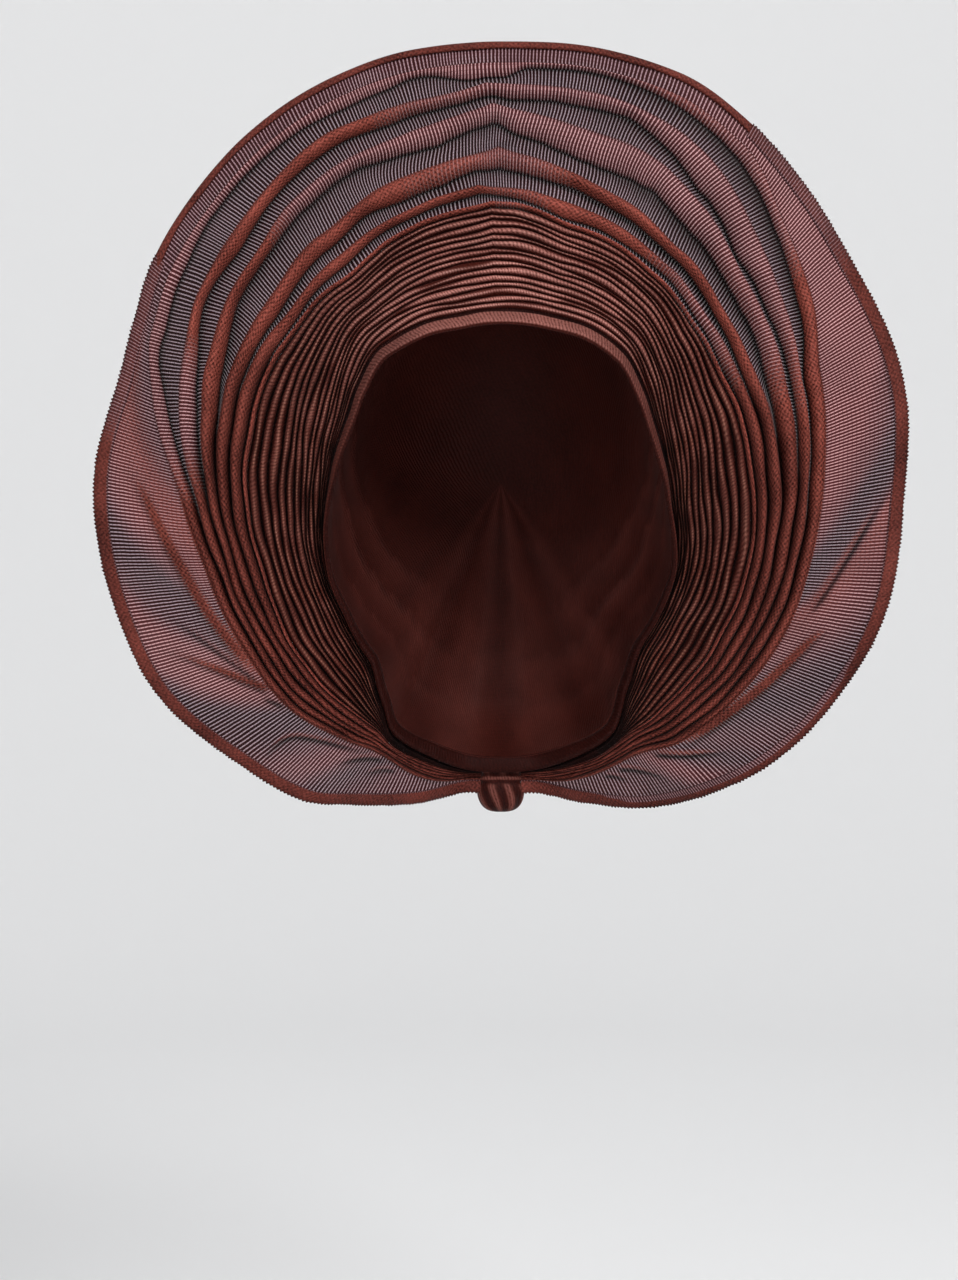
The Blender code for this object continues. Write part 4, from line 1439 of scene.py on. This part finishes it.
@dataclass
class HeadBand:
    """The smooth first fold on the forehead, which runs behind the ears to the nape."""

    shape: FanShape
    columns: int = 480
    name: str = "head_band_cloth"

    # Section of the band: place back along the head and out of it, as shares of its width and wall
    SECTION = [
        # back, out
        (0.00, 0.15), (0.00, 0.75), (0.05, 1.05), (0.14, 1.22), (0.26, 1.16), (0.40, 1.00), (0.60, 0.96),
        (0.80, 0.98), (0.96, 0.92), (1.00, 0.60), (1.00, 0.10), (0.70, 0.00), (0.30, 0.00), (0.00, 0.15),
    ]

    def build(self) -> bpy.types.Object:
        """Builds the band.

        Returns:
            The new piece.
        """
        angles = np.linspace(-180.0, 180.0, self.columns)
        back, out = self.shape.along_head(angles)
        edge = self.shape.head_edge(angles)
        cloth = self.shape.cloth
        turn = np.radians(angles)
        soft = 1 + 0.05 * wander(np.sin(turn) * 40 + np.cos(turn) * 23, 9.0, 800)
        # Pinkish painted light, as on the pleats along the band
        pink_light = 0.7 * smooth_column(PLEAT_TONES, 1, np.abs(angles))
        places, zones = [], []
        for at, high in self.SECTION:
            spot = edge + back * (cloth.band_width * at) + out * (cloth.band_wall * high * soft)[:, None]
            places.append(spot)
            # Painted shade: the band's edges and back are darker than its raised outer face
            rise = 0.85 if 0.0 < at < 0.95 and high > 0.5 else 0.5
            zones.append(bundle(rise, pink_light, 0.0, 0.0))
        places = np.array(places)
        cord = np.broadcast_to(turn, places.shape[:2])
        weave = weave_places(places, cord, turn, self.shape.head_radius(angles))
        piece = grid_piece(self.name, places, np.array(zones), weave)
        weld(piece)
        return piece

    def dress(self, piece: bpy.types.Object, finish: bpy.types.Material) -> None:
        """Gives the band its finish and its place in the part.

        Args:
            piece: the band.
            finish: its material.
        """
        piece.data.materials.append(finish)
        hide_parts("head_band")
        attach(piece, ROOT)


@dataclass
class CrownCap:
    """Cloth over the crown and the back of the head, gathered to the nape."""

    shape: FanShape
    columns: int = 420
    rows: int = 64
    setback: float = -0.0006
    wall: float = 0.0012
    gathers: int = 13
    gather_depth: float = 0.0024
    laps: float = 7.0
    lap_depth: float = 0.0011
    lap_run: float = 0.82  # of each lap rises slowly, and the rest falls
    name: str = "crown_cap_cloth"

    def points(self, angles: np.ndarray, share: float) -> tuple[np.ndarray, np.ndarray]:
        """Inside of the cap at one share of the way from the band to its pole.

        Args:
            angles: degrees of the columns.
            share: 0 at the band, 1 at the pole.

        Returns:
            The points, and the way out of the head at each.
        """
        head = self.shape.head
        centre = np.array([0.0, head.set_back, -head.height / 2])
        back = self.shape.along_head(angles)[0]
        edge = self.shape.head_edge(angles) + back * (self.shape.cloth.band_width + self.setback) - centre
        pole = np.array([0.0, 1.0, 0.05])
        pole = pole / np.linalg.norm(pole)
        length = np.linalg.norm(edge, axis=-1)
        start = edge / length[:, None]
        between = np.arccos(np.clip(start @ pole, -1, 1))[:, None]
        direction = np.sin((1 - share) * between) * start + np.sin(share * between) * pole
        direction = direction / np.sin(between)
        half = np.array([head.width, head.length, head.height]) / 2
        reach = 1.0 / np.linalg.norm(direction / half, axis=-1)
        reach_start = 1.0 / np.linalg.norm(start / half, axis=-1)
        fade_end = 0.35 + 0.55 * np.abs(angles) / 180.0
        fade = np.maximum(0.0, 1.0 - share / fade_end)
        reach = reach + (length - reach_start) * fade * fade * (3 - 2 * fade)
        return centre + direction * reach[:, None], direction

    def build(self) -> bpy.types.Object:
        """Builds the cap.

        Returns:
            The new piece.
        """
        angles = np.linspace(-180.0, 180.0, self.columns)
        around = np.radians(angles)
        places, zones = [], []
        for row in range(self.rows):
            share = row / (self.rows - 1)
            point, direction = self.points(angles, share)
            nape = np.maximum(0.0, (np.abs(angles) - 100.0) / 80.0)
            twist = around + 0.22 * share * np.sin(around)
            wave = 0.5 + 0.5 * np.cos(twist * self.gathers)
            gather = self.gather_depth * wave * nape * math.sin(math.pi * share)
            lap = (share * self.laps + 0.5 * np.cos(around) + 0.10 * np.sin(3 * around + 1.0)) % 1.0
            fade = math.sin(math.pi * min(1.0, share * 1.7)) ** 2 * (1 - 0.75 * nape)
            climb = np.minimum(lap / self.lap_run, (1 - lap) / (1 - self.lap_run))
            places.append(point + direction * (gather + self.lap_depth * fade * climb)[:, None])
            # Painted light growing up each lap and on the gathers, painted shade just past each lap's top,
            # faint pink light
            rise = np.clip(0.6 + 0.25 * lap * fade + 0.3 * wave * nape, 0, 1)
            dark = 0.5 * np.exp(-(((lap - 0.93) / 0.05) ** 2)) * fade
            zones.append(bundle(rise, 0.18, dark, 0.0))
        places = np.array(places)
        steps = np.linalg.norm(np.diff(places, axis=0), axis=-1)
        to_pole = np.concatenate([np.cumsum(steps[::-1], axis=0)[::-1], np.zeros((1, self.columns))])
        uv = bundle(to_pole * np.sin(around), to_pole * np.cos(around))
        weave = np.stack([uv[:-1], uv[1:]], axis=1)
        piece = grid_piece(self.name, places, np.array(zones), weave)
        weld(piece)
        face_from(piece, (0.0, 0.0, -self.shape.head.height / 2))
        thicken(piece, self.wall, 1.0)
        return piece

    def dress(self, piece: bpy.types.Object, finish: bpy.types.Material) -> None:
        """Gives the cap its finish and its place in the part.

        Args:
            piece: the cap.
            finish: its material.
        """
        piece.data.materials.append(finish)
        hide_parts("crown_cap")
        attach(piece, ROOT)


@dataclass
class NapeKnot:
    """Knot of the two cloth ends behind the nape: a wrapped lump with one turn of cloth round it."""

    shape: FanShape
    height: float = 0.034
    depth: float = 0.022
    width: float = 0.025
    hang: float = 0.1
    lean: float = 0.16
    fold_depth: float = 0.045  # of the knot's width
    folds_round: int = 9
    folds_in_turn: float = 26.0
    segments: int = 96
    rings: int = 64
    name: str = "nape_knot_cloth"

    def build(self) -> bpy.types.Object:
        """Builds the knot.

        Returns:
            The new piece.
        """
        deselect_all()
        bpy.ops.mesh.primitive_uv_sphere_add(segments=self.segments, ring_count=self.rings, radius=1.0)
        piece = bpy.context.object
        piece.name = self.name
        mesh = piece.data
        flat = np.empty(len(mesh.vertices) * 3, np.float32)
        mesh.vertices.foreach_get("co", flat)
        x, y, z = flat.reshape(-1, 3).T.astype(float)
        around = np.arctan2(y, x)
        waist = 1.0 - 0.16 * np.exp(-((z / 0.22) ** 2)) + 0.10 * np.exp(-((z / 0.10) ** 2))
        box = (np.abs(x) ** 3 + np.abs(y) ** 3 + np.abs(z) ** 3) ** (1 / 3)
        turn = np.exp(-((z / 0.17) ** 2))
        down = np.cos(self.folds_round * around + 5.0 * z)
        across = 0.9 * np.cos(self.folds_in_turn * z + 0.8 * np.sin(around))
        folds = down * (1 - turn) + across * turn
        out = 1.0 + self.fold_depth * (folds * np.sqrt(np.clip(1 - z * z, 0, 1)) - 1.0)
        places = bundle(
            x * waist / box * out * self.width / 2,
            y * waist / box * out * self.depth / 2,
            z / box * self.height / 2)
        edge = self.shape.head_edge(np.array([180.0]))[0]
        seat = edge[1] + self.shape.cloth.band_wall + self.shape.cloth.gap - places[:, 1].min()
        places += np.array([0.0, seat, edge[2] - self.height * self.hang])
        places[:, 1] += self.lean * np.maximum(0.0, places[:, 2] - edge[2])
        mesh.vertices.foreach_set("co", places.astype(np.float32).ravel())
        # Painted light on the tops of the folds and painted shade between them, and a faint pinkish painted
        # light
        rise = np.clip(0.62 + 0.38 * folds, 0, 1)
        zones = bundle(rise, 0.2, 0.0, 0.0)
        layer = mesh.attributes.new(ZONES, "FLOAT_COLOR", "POINT")
        layer.data.foreach_set("color", zones.astype(np.float32).ravel())
        uv = np.empty(len(mesh.loops) * 2, np.float32)
        mesh.uv_layers[0].uv.foreach_get("vector", uv)
        uv = uv.reshape(-1, 2) * np.array([0.075, 0.05])
        mesh.uv_layers[0].name = WEAVE_UV
        mesh.uv_layers[0].uv.foreach_set("vector", uv.astype(np.float32).ravel())
        mesh.update()
        mesh.shade_smooth()
        return piece

    def dress(self, piece: bpy.types.Object, finish: bpy.types.Material) -> None:
        """Gives the knot its finish and its place in the part.

        Args:
            piece: the knot.
            finish: its material.
        """
        piece.data.materials.append(finish)
        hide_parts("nape_knot")
        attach(piece, ROOT)


@dataclass
class Studio:
    """Pale floor, soft lights and the camera."""

    floor_level: float = -0.62
    floor_reach: float = 3.2
    wall_height: float = 3.6
    sweep: float = 1.6
    camera_place: tuple[float, float, float] = (-0.011, -1.1, -0.173)
    picture_height: float = 0.599  # seen at the plane of the ears

    def build_floor(self) -> bpy.types.Object:
        """Round floor that curves up into a pale wall on all sides.

        Returns:
            The floor.
        """
        deselect_all()
        bpy.ops.mesh.primitive_cylinder_add(
            vertices=96, radius=self.floor_reach, depth=self.wall_height,
            location=(0.0, 0.0, self.floor_level + self.wall_height / 2))
        floor = bpy.context.object
        floor.name = "studio_floor"
        bpy.ops.object.transform_apply(location=True)
        top = self.floor_level + self.wall_height
        for face in floor.data.polygons:
            face.select = face.center.z > top - 0.01
        for edge in floor.data.edges:
            edge.select = False
        bpy.ops.object.mode_set(mode="EDIT")
        bpy.ops.mesh.select_mode(type="FACE")
        bpy.ops.object.mode_set(mode="OBJECT")
        for face in floor.data.polygons:
            face.select = face.center.z > top - 0.01
        bpy.ops.object.mode_set(mode="EDIT")
        bpy.ops.mesh.delete(type="FACE")
        bpy.ops.mesh.select_mode(type="EDGE")
        bpy.ops.object.mode_set(mode="OBJECT")
        corners = floor.data.vertices
        for edge in floor.data.edges:
            edge.select = all(corners[i].co.z < self.floor_level + 0.01 for i in edge.vertices)
        bpy.ops.object.mode_set(mode="EDIT")
        bpy.ops.mesh.bevel(offset=self.sweep, segments=20)
        bpy.ops.mesh.select_all(action="SELECT")
        bpy.ops.mesh.flip_normals()
        bpy.ops.object.mode_set(mode="OBJECT")
        floor.data.shade_smooth()
        material = bpy.data.materials.new("matt_paper_sweep")
        material.use_nodes = True
        shader = material.node_tree.nodes["Principled BSDF"]
        shader.inputs["Base Color"].default_value = linear("#ececec")
        shader.inputs["Roughness"].default_value = 0.9
        floor.data.materials.append(material)
        return floor

    def add_light(self, name: str, place: tuple, target: tuple, size: float, watts: float) -> None:
        """Adds a square soft light.

        Args:
            name: the light's name.
            place: where it stands.
            target: the point that it faces.
            size: its side.
            watts: its power.
        """
        data = bpy.data.lights.new(name, "AREA")
        data.size = size
        data.energy = watts
        lamp = bpy.data.objects.new(name, data)
        bpy.context.scene.collection.objects.link(lamp)
        lamp.location = place
        way = np.array(target, float) - np.array(place, float)
        flat = math.hypot(way[0], way[1])
        lamp.rotation_euler = (math.pi / 2 + math.atan2(way[2], flat), 0.0, math.atan2(-way[0], way[1]))

    def build_camera(self) -> None:
        """Camera level in front of the fan, at the height of the nose bridge."""
        data = bpy.data.cameras.new("camera")
        data.sensor_fit = "VERTICAL"
        data.sensor_height = 24.0
        data.lens = 24.0 * -self.camera_place[1] / self.picture_height
        camera = bpy.data.objects.new("camera", data)
        bpy.context.scene.collection.objects.link(camera)
        camera.location = self.camera_place
        camera.rotation_euler = (math.pi / 2, 0.0, 0.0)
        bpy.context.scene.camera = camera

    def build(self) -> None:
        """Builds the whole studio."""
        self.build_camera()
        self.build_floor()
        world = bpy.context.scene.world or bpy.data.worlds.new("studio")
        bpy.context.scene.world = world
        world.use_nodes = True
        background = world.node_tree.nodes["Background"]
        background.inputs[0].default_value = linear("#f4f5f8")
        background.inputs[1].default_value = 0.5
        middle = (0.0, 0.0, -0.12)
        self.add_light("key", (1.1, -1.7, 1.1), middle, 0.9, 46.0)
        self.add_light("fill", (-1.3, -1.6, 0.3), middle, 1.2, 14.0)
        self.add_light("wall", (0.0, 0.9, 1.9), (0.0, 3.2, 0.2), 1.6, 10.0)
        bpy.context.scene.view_settings.view_transform = "Standard"


def main() -> None:
    """Builds the studio and every piece in order, and reports each one."""
    logging.basicConfig(level=logging.INFO, format="%(name)s: %(message)s")
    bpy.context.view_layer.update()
    Studio().build()
    shape = FanShape(HeadSize(), ClothSize())
    open_gauze = GauzeFinish("woven_ribbed_gauze").make()
    edge_weave = GauzeFinish(
        "woven_selvedge", roll_light="#6c342c", roll_shade="#280c09", check_depth=0.20).make()
    pleated = PleatFinish("pleated_ribbed_gauze").make()
    # The cap's pinkish painted light is dimmer than the pleats'
    cap_cloth = PleatFinish("stretched_ribbed_gauze", ridge="#4c211b", pink_lit="#6f403a").make()

    tight = TightPleats(shape)
    tight.dress(tight.build(), pleated)
    log.info("tight pleats built")
    rolled = RolledTopEdge(shape)
    rolled_piece = rolled.build()
    rolled.dress(rolled_piece, edge_weave)
    hems = [rolled_piece]
    for side in Side:
        strip = Selvedge(shape, side)
        strip_piece = strip.build()
        strip.dress(strip_piece, edge_weave)
        hems.append(strip_piece)
        log.info("%s selvedge built", side.value)
    brim = FannedBrim(shape)
    brim.dress(brim.build(), open_gauze, hems)
    log.info("fanned brim built")
    band = HeadBand(shape)
    band.dress(band.build(), pleated)
    cap = CrownCap(shape)
    cap.dress(cap.build(), cap_cloth)
    knot = NapeKnot(shape)
    knot.dress(knot.build(), pleated)
    log.info("band, cap and knot built")


if __name__ == "__main__":
    main()
